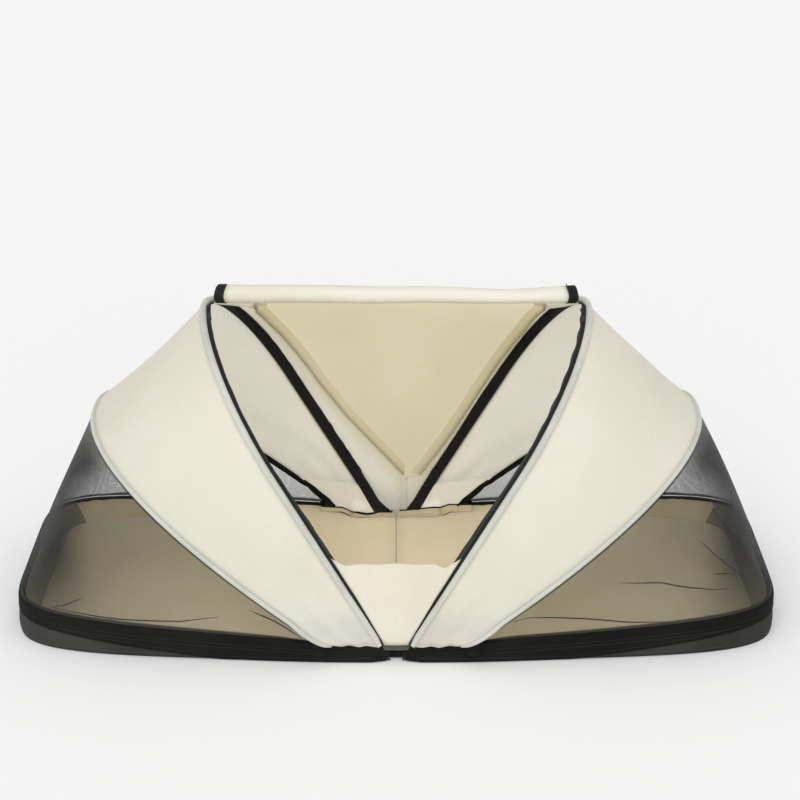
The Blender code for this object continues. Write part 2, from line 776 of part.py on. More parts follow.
def half_at(z, clear):
    return PIN_X + leg_height(z) * math.cos(UPPER_ANGLE) - clear


def make_rear_door():
    # the zipped rear door over the arch, and the lining with its open V inside it
    clear = PIPING_RADIUS / math.sin(UPPER_ANGLE) + 3 * GAP + REAR_ZIP_WIDTH
    leg_top = HUB_PIN_HEIGHT + UPPER_LEG * math.sin(UPPER_ANGLE)
    crown = [p for p in upper_stations(RIGHT)[STATIONS // 2:] if p.z > leg_top]
    levels = [(p.x - clear, p.y, p.z) for p in crown]
    kinks = [leg_top, leg_top * 0.8, leg_top * 0.6, LINING_TIP_HEIGHT,
             (LINING_TIP_HEIGHT + LINING_FOOT_HEIGHT) / 2, LINING_FOOT_HEIGHT]
    levels += [(half_at(z, clear), tucked_y(z), z) for z in kinks]
    lining_count = len(levels)
    for z in (LINING_FOOT_HEIGHT * 0.75, LOWER_PANEL_BOTTOM):
        levels.append((half_at(z, clear), tucked_y(z), z))
    rows = [[Vector((half * v, y, z)) for v in (-1, -0.5, 0, 0.5, 1)] for half, y, z in levels]
    door = sheet(rows, CLOTH)
    finish(door, "rear_door", DOOR_CREAM, 0.75)
    smooth(door, 60)

    ways = tangents([Vector((0, y, z)) for half, y, z in levels])
    lining = []
    for (half, y, z), way in list(zip(levels, ways))[:lining_count]:
        inner = Vector((0, way.z, -way.y))
        if inner.z > 0 or (abs(inner.z) < 0.1 and inner.y > 0):
            inner = -inner
        edge = half - GAP
        opening = min(LINING_SLOPE * (z - LINING_TIP_HEIGHT), edge - LINING_BAND)
        opening = max(opening, 0.0)
        near, deep = CLOTH + 2 * GAP, LINING_DEPTH
        spread = ((edge, near), ((edge + opening) / 2, (near + deep) / 2), (opening, deep))
        row = [Vector((-x, y, z)) + inner * d for x, d in spread]
        row += [Vector((x, y, z)) + inner * d for x, d in reversed(spread)]
        lining.append(row)
    window = sheet(lining, CLOTH, skip=lambda i, j: j == 2)
    finish(window, "rear_door_lining", LINING_GREY, 0.75)
    smooth(window, 60)


def make_lower_panel():
    # the fixed cloth below the front door, tucked down between hub and hem
    clear = PIPING_RADIUS / math.sin(UPPER_ANGLE) + 3 * GAP + FRONT_ZIP_WIDTH
    rows = []
    levels = 6
    for i in range(levels + 1):
        z = LOWER_PANEL_BOTTOM + (LOWER_PANEL_HEIGHT - LOWER_PANEL_BOTTOM) * i / levels
        row = []
        for j in range(9):
            v = j / 4 - 1
            ripple = LOWER_PANEL_RIPPLE * math.cos(3 * math.pi * v) * (i / levels) ** 2
            bulge = LOWER_PANEL_RIPPLE * (1 - v * v) * math.sin(math.pi * i / levels)
            row.append(Vector((half_at(z, clear) * v,
                               (1 - v * v) * ripple - bulge - tucked_y(z), z)))
        rows.append(row)
    panel = sheet(rows, CLOTH)
    finish(panel, "front_lower_panel", CREAM, 0.75)
    smooth(panel, 60)


def roll_section():
    # the door's cloth from the ridge, up the back of the roll and wound inwards
    ridge = HUB_PIN_HEIGHT + UPPER_REACH * math.sin(UPPER_ANGLE)
    cy, cz = -ROLL_FORWARD, ridge + ROLL_RISE
    reach = math.hypot(ROLL_FORWARD, ROLL_RISE)
    line = math.atan2(-ROLL_RISE, ROLL_FORWARD)
    start = line + math.acos(min(ROLL_RADIUS / reach, 1.0))
    turns = (ROLL_RADIUS - ROLL_HOLE) / ROLL_PITCH
    steps = int(round(turns * 12))
    points = [(0.0, ridge + CLOTH + GAP)]
    for i in range(steps + 1):
        turn = start + 2 * math.pi * turns * i / steps
        radius = ROLL_RADIUS - (ROLL_RADIUS - ROLL_HOLE) * i / steps
        points.append((cy + radius * math.cos(turn), cz + radius * math.sin(turn)))
    return points


def make_roll():
    half = PIN_X + UPPER_REACH * math.cos(UPPER_ANGLE) - ROLL_END_INSET - ROLL_TAPE - GAP
    section = roll_section()
    spans = (("rolled_door", -half, half, DOOR_CREAM),
             ("door_zip_tape_left", -half - GAP - ROLL_TAPE, -half - GAP, ZIP_BLACK),
             ("door_zip_tape_right", half + GAP, half + GAP + ROLL_TAPE, ZIP_BLACK))
    for name, a, b, colour in spans:
        rows = [[Vector((a, y, z)) for y, z in section], [Vector((b, y, z)) for y, z in section]]
        item = sheet(rows, CLOTH)
        finish(item, name, colour, 0.75)
        smooth(item, 50)


def make_mattress(side, word):
    # a padded half with a low crown and drawn-in edges
    inner = MATTRESS_SEAM / 2
    inset = HEM_THICKNESS / 2 + MATTRESS_RIM_GAP
    outer = RIM_REACH - inset
    low = FLOOR_THICKNESS + GAP
    mid = low + MATTRESS_THICKNESS / 2
    narrow = BASE_EYE_Y - EYE_THICKNESS / 2 - GAP - PIN_HEAD_HEIGHT - MATTRESS_HUB_CLEARANCE
    ends = [0.36, 0.54, 0.72, 0.86, 0.95, 1.0]
    xs = [inner, MATTRESS_CUT_START, MATTRESS_CUT_END] + [inner + (outer - inner) * u for u in ends]
    ys = [-1.0, -0.9, -0.5, 0.0, 0.5, 0.9, 1.0]
    bm = bmesh.new()
    levels = []
    for level in (-1, 1):
        layer = []
        for x in xs:
            u = (x - inner) / (outer - inner)
            width = narrow if x <= MATTRESS_CUT_START else rim_y(x * MATTRESS_END_SHARE, inset)
            column = []
            for v in ys:
                crown = MATTRESS_CROWN * (1 - v * v) * (1 - (2 * u - 1) ** 4)
                z = mid + level * MATTRESS_THICKNESS / 2
                if level > 0:
                    z += crown
                column.append(bm.verts.new((side * x, width * v, z)))
            layer.append(column)
        levels.append(layer)
    for layer in levels:
        for i in range(len(xs) - 1):
            for j in range(len(ys) - 1):
                bm.faces.new((layer[i][j], layer[i + 1][j], layer[i + 1][j + 1], layer[i][j + 1]))
    border = [(i, 0) for i in range(len(xs))] + [(len(xs) - 1, j) for j in range(1, len(ys))]
    border += [(i, len(ys) - 1) for i in range(len(xs) - 2, -1, -1)]
    border += [(0, j) for j in range(len(ys) - 2, 0, -1)]
    for k in range(len(border)):
        (i, j), (m, n) = border[k], border[(k + 1) % len(border)]
        bm.faces.new((levels[0][i][j], levels[0][m][n], levels[1][m][n], levels[1][i][j]))
    bmesh.ops.recalc_face_normals(bm, faces=bm.faces)
    data = bpy.data.meshes.new("mattress")
    bm.to_mesh(data)
    bm.free()
    item = bpy.data.objects.new("mattress", data)
    bpy.context.scene.collection.objects.link(item)
    edge = item.modifiers.new("rounded", "BEVEL")
    edge.width = MATTRESS_EDGE
    edge.segments = 2
    edge.angle_limit = math.radians(60)
    set_origin(item, (side * PIN_X, 0, HUB_PIN_HEIGHT))
    finish(item, "mattress_" + word, MATTRESS_TAN, 0.9)
    smooth(item, 60)


def build():
    make_hubs()
    make_fold_strip()
    for side, word in SIDES:
        make_base_frame(side, word)
        make_upper_hoop(side, word)
        make_lower_hoop(side, word)
        make_cloth(side, word)
        front, rear = make_zips(side, word)
        make_slider("front_zip_slider_" + word, side, front[-2], front[-1], FRONT_ZIP_WIDTH, True)
        make_slider("rear_zip_slider_" + word, side, rear[-2], rear[-3], REAR_ZIP_WIDTH, False)
        make_mattress(side, word)
    make_rear_door()
    make_lower_panel()
    make_roll()


build()
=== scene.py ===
# %% [markdown]
# # A folding baby travel tent
# Two halves of a padded base open like a book. Two tall hoops and two low hoops turn on rivets at
# the fold, and cloth joins them: a cream shell on each side, black netting at each end, a zipped
# door at the rear and a front door that is rolled up along the ridge.
# The wire rods, hub plates, clips, rivets and zip sliders come ready made in the CAD frame. This
# lesson dresses them: every sheet of cloth, tape and pad is built here, in metres, in the same
# frame, with +X to the right, the front door towards -Y and +Z up.

# %% Load the frame
import math

import bmesh
import bpy
import numpy as np
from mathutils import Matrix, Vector, noise


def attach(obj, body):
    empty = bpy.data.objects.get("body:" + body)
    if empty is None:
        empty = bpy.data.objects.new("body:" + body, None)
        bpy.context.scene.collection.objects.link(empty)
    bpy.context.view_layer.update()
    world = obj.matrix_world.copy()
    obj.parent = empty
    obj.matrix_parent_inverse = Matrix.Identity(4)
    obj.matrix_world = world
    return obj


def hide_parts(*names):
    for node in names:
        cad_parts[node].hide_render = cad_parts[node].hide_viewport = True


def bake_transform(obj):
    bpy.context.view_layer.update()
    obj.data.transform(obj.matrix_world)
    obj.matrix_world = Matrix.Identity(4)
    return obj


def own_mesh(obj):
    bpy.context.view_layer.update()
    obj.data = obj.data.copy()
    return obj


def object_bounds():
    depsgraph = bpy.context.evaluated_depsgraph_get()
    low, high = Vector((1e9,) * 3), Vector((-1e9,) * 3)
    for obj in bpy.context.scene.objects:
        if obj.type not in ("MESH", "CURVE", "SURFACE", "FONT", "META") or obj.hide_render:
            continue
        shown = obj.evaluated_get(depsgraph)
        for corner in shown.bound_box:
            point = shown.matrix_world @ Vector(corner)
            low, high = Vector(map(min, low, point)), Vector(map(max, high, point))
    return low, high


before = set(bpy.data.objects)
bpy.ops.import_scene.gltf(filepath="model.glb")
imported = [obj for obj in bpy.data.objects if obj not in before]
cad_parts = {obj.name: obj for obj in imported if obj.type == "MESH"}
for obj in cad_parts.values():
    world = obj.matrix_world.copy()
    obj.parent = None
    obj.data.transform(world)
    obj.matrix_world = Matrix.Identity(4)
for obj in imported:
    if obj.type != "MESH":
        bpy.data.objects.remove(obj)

CAD_BOX = [list(corner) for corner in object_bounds()]
SIDES = ((-1, "left"), (1, "right"))
ENDS = ((-1, "front"), (1, "rear"))

# %% [markdown]
# ## The view
# The photograph was taken from in front and a little above, with a long lens, so that the near
# and far rims are nearly the same size. The camera stands 3.43 m in front of the tent and 1.55 m
# up and looks down at almost 20 degrees.

# %% Camera
scene = bpy.context.scene
scene.view_settings.view_transform = "Standard"
lens = bpy.data.cameras.new("long_lens")
lens.sensor_width = 36.0
lens.lens = 102.06
lens.shift_x = 0.0048
camera = bpy.data.objects.new("camera", lens)
camera.location = (0.0, -3.4314, 1.5476)
camera.rotation_euler = (math.radians(70.365), 0.0, 0.0)
scene.collection.objects.link(camera)
scene.camera = camera
print("camera looks down", round(90 - math.degrees(camera.rotation_euler.x), 2), "degrees")

# %% [markdown]
# ## Helpers for node trees
# Every finish, and the pale world round the tent, is a tree of nodes. These helpers add a node,
# feed its inputs with numbers or with other nodes, and give back what the next step needs.

# %% Node helpers
FLOAT, VECTOR = "NodeSocketFloat", "NodeSocketVector"


def srgb(*levels):
    # from the levels of a picture, 0 to 255, to the even steps of light that a shader takes
    even = [((c / 255 + 0.055) / 1.055) ** 2.4 if c > 10 else c / 255 / 12.92 for c in levels]
    return tuple(even) + (1.0,)


def darker(colour, share):
    return tuple(c * share for c in colour[:3]) + (1.0,)


def put(tree, kind, feeds=None, **settings):
    made = tree.nodes.new(kind)
    for key, value in settings.items():
        setattr(made, key, value)
    for key, value in (feeds or {}).items():
        if isinstance(value, bpy.types.NodeSocket):
            tree.links.new(value, made.inputs[key])
        else:
            made.inputs[key].default_value = value
    return made


def calc(tree, operation, a, b=0.0, c=None):
    feeds = {0: a, 1: b}
    if c is not None:
        feeds[2] = c
    return put(tree, "ShaderNodeMath", feeds, operation=operation).outputs[0]


def blend_colour(tree, share, a, b):
    # sockets 6 and 7 take the colours of a mix node, and its output 2 gives the result
    return put(tree, "ShaderNodeMix", {"Factor": share, 6: a, 7: b}, data_type="RGBA").outputs[2]


def ranged(tree, value, low, high, to_low=0.0, to_high=1.0, smooth=False):
    # spreads what lies between low and high over another range
    feeds = {"Value": value, "From Min": low, "From Max": high, "To Min": to_low, "To Max": to_high}
    kind = "SMOOTHSTEP" if smooth else "LINEAR"
    return put(tree, "ShaderNodeMapRange", feeds, interpolation_type=kind).outputs["Result"]


def bumped(tree, strength, distance, height, normal=None):
    feeds = {"Strength": strength, "Distance": distance, "Height": height}
    if normal is not None:
        feeds["Normal"] = normal
    return put(tree, "ShaderNodeBump", feeds).outputs["Normal"]


def stored(tree, name):
    # a number that the mesh keeps for each point
    return put(tree, "ShaderNodeAttribute", attribute_name=name).outputs["Fac"]


def new_material(name, values):
    material = bpy.data.materials.new(name)
    material.use_nodes = True
    shader = material.node_tree.nodes["Principled BSDF"]
    for key, value in values.items():
        shader.inputs[key].default_value = value
    return material, material.node_tree, shader


def effect(name, takes, gives):
    tree = bpy.data.node_groups.new(name, "ShaderNodeTree")
    for socket, kind in takes:
        tree.interface.new_socket(name=socket, in_out="INPUT", socket_type=kind)
    for socket, kind in gives:
        tree.interface.new_socket(name=socket, in_out="OUTPUT", socket_type=kind)
    return tree, tree.nodes.new("NodeGroupInput"), tree.nodes.new("NodeGroupOutput")


print("white is", srgb(255, 255, 255))

# %% [markdown]
# ## Light and floor
# A studio picture on white has one large soft light, here high in front, and pale walls all
# round. A sun with a wide angle stands for the soft box, a second and lower one for the fill light
# that shines in through the open front, and a pale world for the walls. Together they light a
# surface that faces up to about one, so a colour renders as it is written. What the camera sees
# behind the tent is near white, and the floor keeps the soft shadow.

# %% World, lamp and floor
BACKDROP, WALL_LIGHT = 0.922, 0.70
FLOOR_TONE, FLOOR_SIZE = 0.895, 20.0
# name, strength, and in degrees how wide the light is, its tilt and its turn
LAMPS = (("soft_box", 1.20, 50, 46, -8), ("fill_light", 0.75, 60, 78, -3))
world = bpy.data.worlds.new("pale_studio")
scene.world = world
world.use_nodes = True
sky = world.node_tree
sky.nodes.clear()
path = put(sky, "ShaderNodeLightPath")
direct = calc(sky, "MAXIMUM", path.outputs["Is Camera Ray"], path.outputs["Is Glossy Ray"])
direct = calc(sky, "MAXIMUM", direct, path.outputs["Is Transmission Ray"])
lit = put(sky, "ShaderNodeBackground", {"Color": (1.0, 1.0, 1.0, 1), "Strength": WALL_LIGHT})
seen = put(sky, "ShaderNodeBackground", {"Color": (BACKDROP, BACKDROP, BACKDROP, 1)})
mix = put(sky, "ShaderNodeMixShader", {0: direct, 1: lit.outputs[0], 2: seen.outputs[0]})
put(sky, "ShaderNodeOutputWorld", {"Surface": mix.outputs[0]})

for name, energy, wide, tilt, turn in LAMPS:
    lamp = bpy.data.lights.new(name, "SUN")
    lamp.energy = energy
    lamp.angle = math.radians(wide)
    lamp_object = bpy.data.objects.new(name, lamp)
    lamp_object.rotation_euler = (math.radians(tilt), math.radians(turn), 0.0)
    scene.collection.objects.link(lamp_object)

floor_form = bmesh.new()
bmesh.ops.create_grid(floor_form, x_segments=1, y_segments=1, size=FLOOR_SIZE)
floor_mesh = bpy.data.meshes.new("studio_floor")
floor_form.to_mesh(floor_mesh)
floor_form.free()
studio_floor = bpy.data.objects.new("studio_floor", floor_mesh)
scene.collection.objects.link(studio_floor)
paint = {"Base Color": (FLOOR_TONE, FLOOR_TONE, FLOOR_TONE, 1), "Roughness": 0.9, "Specular IOR Level": 0.0}
floor_mesh.materials.append(new_material("studio_floor_paint", paint)[0])
print("floor", floor_mesh.name, "backdrop", BACKDROP)

# %% [markdown]
# ## Where the frame is
# Cloth has to meet the rods that carry it, so the lines of the rods come first: the rim of the
# base, the two tall hoops and the two low hoops. Each is a short formula. A hoop is a straight
# leg that runs into a rounded crown, a superellipse, and it leans at its own angle.

# %% Sizes of the frame
PIN_X, PIN_Z = 0.036, 0.030
UPPER_ANGLE, UPPER_REACH, UPPER_LEG = math.radians(59.1), 0.524, 0.300
UPPER_FOOT_Y, UPPER_DRAW_IN, UPPER_POWER = 0.2579, 0.010, 1.93
LOWER_X, LOWER_Z = 0.118, 0.034
LOWER_ANGLE, LOWER_REACH, LOWER_LEG = math.radians(37.1), 0.4584, 0.030
LOWER_HALF, LOWER_POWER = 0.293, 2.39
RIM_REACH, RIM_HALF, CORNER, BOW = 0.595, 0.282, 7.0, 0.105
RIM_STEPS = 1200
RIDGE_Z = PIN_Z + UPPER_REACH * math.sin(UPPER_ANGLE)
print("ridge at", round(RIDGE_Z, 4))


# %% Lines of the frame
def crown(reach, half, power, t):
    across = -half * math.copysign(abs(math.cos(t)) ** (2 / power), math.cos(t))
    return reach * abs(math.sin(t)) ** (2 / power), across


def on_upper(side, r, y):
    return Vector((side * (PIN_X + r * math.cos(UPPER_ANGLE)), y, PIN_Z + r * math.sin(UPPER_ANGLE)))


def on_lower(side, r, y):
    return Vector((side * (LOWER_X + r * math.cos(LOWER_ANGLE)), y, LOWER_Z + r * math.sin(LOWER_ANGLE)))


def over_ridge(y):
    # the cloth wraps over the pipings along the ridge, so it lies higher there
    return 0.0060 * (1 - min(abs(y) / 0.05, 1.0)) ** 2 * (1 + 2 * min(abs(y) / 0.05, 1.0))


def upper_leg_y(r):
    return UPPER_FOOT_Y - UPPER_DRAW_IN * min(max(r, 0.0) / UPPER_LEG, 1.0)


def hem_low_z(x):
    return 0.0025 + 0.040 * abs(x) / 0.6


def hem_top_z(x):
    return hem_low_z(x) + 0.020


def rim_y(x, inset=0.0):
    reach, half = RIM_REACH - inset, RIM_HALF - inset
    corner = max(1 - (abs(x) / reach) ** CORNER, 0.0) ** (1 / CORNER)
    return half * corner * (1 - BOW * (x / reach) ** 2)


def rim_point(side, t, inset=0.0):
    # t runs from 0 at the front of the fold, round the end of the half, to pi at the rear
    reach, half = RIM_REACH - inset, RIM_HALF - inset
    turn = t + 0.5 * math.sin(4 * t) / 4
    across, along = abs(math.cos(turn)), math.sin(turn)
    scale = (along ** CORNER + across ** CORNER) ** (-1 / CORNER)
    x = reach * along * scale
    return Vector((side * x, -half * math.cos(turn) * scale * (1 - BOW * (x / reach) ** 2), 0.0))


def rim_ring(side, start_x):
    # the rim of a half as a line, from start_x beside the fold at the front to the same at the rear
    ring = [rim_point(side, math.pi * k / RIM_STEPS) for k in range(RIM_STEPS + 1)]
    return [point for point in ring if abs(point.x) >= start_x]


def outward(ring, i):
    # square to the ring, away from the middle of the tent
    a, b = ring[max(i - 1, 0)], ring[min(i + 1, len(ring) - 1)]
    way = (b - a).normalized()
    out_way = Vector((way.y, -way.x, 0))
    return out_way if out_way.dot(ring[i]) > 0 else -out_way


def spaced(points, count):
    # points spread evenly along a line
    line = np.array([tuple(p) for p in points])
    run = np.concatenate([[0.0], np.cumsum(np.linalg.norm(np.diff(line, axis=0), axis=1))])
    wanted = np.linspace(0.0, run[-1], count)
    return [Vector([float(np.interp(w, run, line[:, k])) for k in range(3)]) for w in wanted]


def length_of(line):
    return sum((b - a).length for a, b in zip(line, line[1:]))


def bezier(a, b, c, d, count):
    found = []
    for i in range(count + 1):
        t = i / count
        u = 1 - t
        found.append(a * u ** 3 + b * 3 * u * u * t + c * 3 * u * t * t + d * t ** 3)
    return found


print("rim half width at the fold", round(rim_y(0.0), 4), "and at 0.45", round(rim_y(0.45), 4))

# %% [markdown]
# At its foot each piping leaves the rod, passes outside the hub plate or the clip and is sewn to
# the top of the hem, so the cloth covers the hinge. A short Bezier curve makes that foot.

# %% Piping lines with their feet
UPPER_FOOT, UPPER_ANKLE = (0.0245, 0.2868, 0.0240), (0.0335, 0.2785, 0.0370)
LOWER_FOOT, LOWER_ANKLE = (0.1000, 0.2895, 0.0270), (0.1210, 0.3110, 0.0375)


def foot_bend(side, end, foot, low, high, leg):
    # from the hem up to the leg of a hoop at the front, and down again at the rear
    foot = Vector((side * foot[0], end * foot[1], foot[2]))
    low = Vector((side * low[0], end * low[1], low[2]))
    line = bezier(foot, low, high, leg, 14)
    return line if end < 0 else line[::-1]


def upper_line(side):
    # from the hem at the front, over the crown, to the hem at the rear
    feet = []
    for end in (-1, 1):
        leg = on_upper(side, 0.060, end * upper_leg_y(0.060))
        way = (leg - on_upper(side, 0.040, end * upper_leg_y(0.040))).normalized()
        feet.append(foot_bend(side, end, UPPER_FOOT, UPPER_ANKLE, leg - way * 0.024, leg))
    middle = [on_upper(side, r, -upper_leg_y(r)) for r in (0.10, 0.15, 0.20, 0.25)]
    for i in range(201):
        r, y = crown(UPPER_REACH - UPPER_LEG, upper_leg_y(UPPER_LEG), UPPER_POWER, math.pi * i / 200)
        middle.append(on_upper(side, UPPER_LEG + r, y))
    middle += [on_upper(side, r, upper_leg_y(r)) for r in (0.25, 0.20, 0.15, 0.10)]
    return feet[0] + middle + feet[1]


def lower_line(side):
    # the same for a low hoop; its feet pass outside the clips
    feet = []
    for end in (-1, 1):
        leg = on_lower(side, 0.055, end * LOWER_HALF)
        way = (leg - on_lower(side, 0.030, end * LOWER_HALF)).normalized()
        high = leg - way * 0.020
        high.y = end * 0.3020
        feet.append(foot_bend(side, end, LOWER_FOOT, LOWER_ANKLE, high, leg))
    middle = []
    for i in range(241):
        r, y = crown(LOWER_REACH - LOWER_LEG, LOWER_HALF, LOWER_POWER, math.pi * i / 240)
        if LOWER_LEG + r > 0.062:
            middle.append(on_lower(side, LOWER_LEG + r, y))
    return feet[0] + middle + feet[1]


def rim_line(side, inset):
    # along the top of the hem, from the front of the fold round to the rear
    line = []
    for i in range(401):
        point = rim_point(side, math.pi * i / 400, inset)
        point.z = hem_top_z(point.x)
        line.append(point)
    return line


print("upper piping", round(length_of(upper_line(1)), 3), "m, lower", round(length_of(lower_line(1)), 3), "m")

# %% [markdown]
# ## Cloth from a flat grid
# Cloth is cut flat and then sewn to curved edges. The same idea makes each sheet here: a flat
# grid from bmesh is laid so that each of its points goes to its place on the tent. The grid keeps
# a map in real metres, so weave and stitches have one scale everywhere, and two numbers per
# point: how near a sewn edge is, and how far the point follows a moving hoop.

# %% Sheet and tube makers
CLOTH_THICK = 0.0008


def sheet_of_cloth(name, along, across, place, sewn=("top", "bottom"), follow=None, join=False):
    bm = bmesh.new()
    bmesh.ops.create_grid(bm, x_segments=along, y_segments=across, size=0.5)
    uv = bm.loops.layers.uv.new("cloth")
    gap_of = bm.verts.layers.float.new("seam_gap")
    share_of = bm.verts.layers.float.new("follow")
    spot = [[Vector(place(i / along, j / across)) for j in range(across + 1)] for i in range(along + 1)]
    middle = across // 2
    run = [0.0]
    for i in range(along):
        run.append(run[-1] + (spot[i + 1][middle] - spot[i][middle]).length)
    drop = []
    for i in range(along + 1):
        fall = [0.0]
        for j in range(across):
            fall.append(fall[-1] + (spot[i][j + 1] - spot[i][j]).length)
        drop.append(fall)
    where = {}
    for vert in bm.verts:
        i, j = round((vert.co.x + 0.5) * along), round((vert.co.y + 0.5) * across)
        where[vert] = (i, j)
        gaps = [1.0]
        gaps += [drop[i][j]] if "top" in sewn else []
        gaps += [drop[i][-1] - drop[i][j]] if "bottom" in sewn else []
        gaps += [run[i], run[-1] - run[i]] if "ends" in sewn else []
        vert[gap_of] = min(gaps)
        vert[share_of] = follow(i / along, j / across) if follow else 0.0
        vert.co = spot[i][j]
    for face in bm.faces:
        for loop in face.loops:
            i, j = where[loop.vert]
            loop[uv].uv = (run[i], drop[i][j])
    if join:
        bmesh.ops.remove_doubles(bm, verts=bm.verts, dist=1e-5)
        bmesh.ops.recalc_face_normals(bm, faces=bm.faces)
    else:
        bm.normal_update()
        inside = Vector((0, 0, 0.16))
        faces_out = sum(f.normal.dot(f.calc_center_median() - inside) * f.calc_area() for f in bm.faces)
        if faces_out < 0:
            bmesh.ops.reverse_faces(bm, faces=bm.faces)
    return as_piece(name, bm)


def as_piece(name, bm):
    mesh = bpy.data.meshes.new(name)
    bm.to_mesh(mesh)
    bm.free()
    mesh.shade_smooth()
    piece = bpy.data.objects.new(name, mesh)
    scene.collection.objects.link(piece)
    return piece


def frames_along(line):
    # a direction and two square axes at each point, turned as little as possible
    ways = [(line[min(i + 1, len(line) - 1)] - line[max(i - 1, 0)]).normalized() for i in range(len(line))]
    side = Vector((0, 0, 1)).cross(ways[0])
    side = side.normalized() if side.length > 1e-6 else Vector((1, 0, 0))
    found = []
    for way in ways:
        side = (side - way * side.dot(way)).normalized()
        found.append((way, side, way.cross(side)))
    return found


def tube_of_cloth(name, line, radius, around=12, follow=None):
    # radius is a number, or a function of the share along the line
    frames = frames_along(line)
    count = len(line) - 1

    def place(t, v):
        i = round(t * count)
        way, a, b = frames[i]
        size = radius(t) if callable(radius) else radius
        turn = 2 * math.pi * v
        return line[i] + a * (size * math.cos(turn)) + b * (size * math.sin(turn))
    return sheet_of_cloth(name, count, around, place, sewn=(), follow=follow, join=True)


def ease(x):
    x = min(max(x, 0.0), 1.0)
    return x * x * (3 - 2 * x)


def dress(piece, material, body=None, stands_for=(), thick=None):
    piece.data.materials.clear()
    piece.data.materials.append(material)
    if thick:
        weight = piece.modifiers.new("cloth_thickness", "SOLIDIFY")
        weight.thickness = thick
        weight.offset = 0.0
    if body:
        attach(piece, body)
    if stands_for:
        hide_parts(*stands_for)
    return piece


def bend(piece, end, share=None):
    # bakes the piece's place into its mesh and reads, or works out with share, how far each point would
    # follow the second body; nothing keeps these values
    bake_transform(piece)
    own = piece.data.attributes.get("follow")
    values = [0.0] * len(piece.data.vertices)
    if share is None:
        own.data.foreach_get("value", values)
    else:
        values = [share(v.co) for v in piece.data.vertices]
    return piece


# %% [markdown]
# ## Effects that several finishes share
# Four small node groups: woven threads, soft marks (the slow change of colour that handling and
# folding leave), a row of stitches beside a seam, and rubbed edges for hard pieces. Each gives
# back only heights and masks, and each finish mixes them in its own way.

# %% Woven threads
WOVEN, into, out = effect("woven_threads", (("Vector", VECTOR), ("Threads", FLOAT)),
                          (("Height", FLOAT), ("Shade", FLOAT)))
split = put(WOVEN, "ShaderNodeSeparateXYZ", {0: into.outputs["Vector"]})
warp = calc(WOVEN, "MULTIPLY", split.outputs["X"], into.outputs["Threads"])
weft = calc(WOVEN, "MULTIPLY", split.outputs["Y"], into.outputs["Threads"])
wave_a = calc(WOVEN, "SINE", calc(WOVEN, "MULTIPLY", warp, math.pi))
wave_b = calc(WOVEN, "SINE", calc(WOVEN, "MULTIPLY", weft, math.pi))
height = calc(WOVEN, "MULTIPLY_ADD", calc(WOVEN, "MULTIPLY", wave_a, wave_b), 0.5, 0.5)
slub = put(WOVEN, "ShaderNodeTexNoise", {"Vector": into.outputs["Vector"], "Scale": 260.0, "Detail": 2.0})
WOVEN.links.new(height, out.inputs["Height"])
WOVEN.links.new(calc(WOVEN, "MULTIPLY_ADD", slub.outputs["Fac"], 0.6, calc(WOVEN, "MULTIPLY", height, 0.4)),
                out.inputs["Shade"])
print("group", WOVEN.name)

# %% Soft marks
MARKS, into, out = effect("soft_marks", (("Vector", VECTOR), ("Scale", FLOAT)),
                          (("Mask", FLOAT), ("Crinkle", FLOAT)))
broad = put(MARKS, "ShaderNodeTexNoise", {"Vector": into.outputs["Vector"], "Scale": into.outputs["Scale"],
                                          "Detail": 3.0, "Roughness": 0.5})
fine_scale = calc(MARKS, "MULTIPLY", into.outputs["Scale"], 6.0)
crinkle = put(MARKS, "ShaderNodeTexNoise", {"Vector": into.outputs["Vector"], "Scale": fine_scale,
                                            "Detail": 4.0, "Roughness": 0.55, "Distortion": 0.6})
MARKS.links.new(ranged(MARKS, broad.outputs["Fac"], 0.36, 0.64, smooth=True), out.inputs["Mask"])
MARKS.links.new(crinkle.outputs["Fac"], out.inputs["Crinkle"])
print("group", MARKS.name)

# %% A row of stitches
STITCHES, into, out = effect("stitch_row", (("Run", FLOAT), ("Gap", FLOAT), ("At", FLOAT), ("Length", FLOAT)),
                             (("Mask", FLOAT),))
off_line = calc(STITCHES, "ABSOLUTE", calc(STITCHES, "SUBTRACT", into.outputs["Gap"], into.outputs["At"]))
on_line = ranged(STITCHES, off_line, 0.0003, 0.0006, 1.0, 0.0)
beat = calc(STITCHES, "FRACT", calc(STITCHES, "DIVIDE", into.outputs["Run"], into.outputs["Length"]))
hump = calc(STITCHES, "SINE", calc(STITCHES, "MULTIPLY", beat, math.pi))
stitch = ranged(STITCHES, hump, 0.35, 0.6)
STITCHES.links.new(calc(STITCHES, "MULTIPLY", on_line, stitch), out.inputs["Mask"])
print("group", STITCHES.name)

# %% Rubbed edges
RUBBED, into, out = effect("rubbed_edges", (("Radius", FLOAT), ("Vector", VECTOR)), (("Mask", FLOAT),))
round_edge = put(RUBBED, "ShaderNodeBevel", {"Radius": into.outputs["Radius"]}, samples=4)
plain = put(RUBBED, "ShaderNodeNewGeometry")
turned = put(RUBBED, "ShaderNodeVectorMath", {0: round_edge.outputs["Normal"], 1: plain.outputs["Normal"]},
             operation="DOT_PRODUCT")
worn = ranged(RUBBED, turned.outputs["Value"], 0.97, 0.80)
patchy = put(RUBBED, "ShaderNodeTexNoise", {"Vector": into.outputs["Vector"], "Scale": 220.0, "Detail": 4.0})
broken = ranged(RUBBED, patchy.outputs["Fac"], 0.35, 0.6)
RUBBED.links.new(calc(RUBBED, "MULTIPLY", worn, broken), out.inputs["Mask"])
print("group", RUBBED.name)
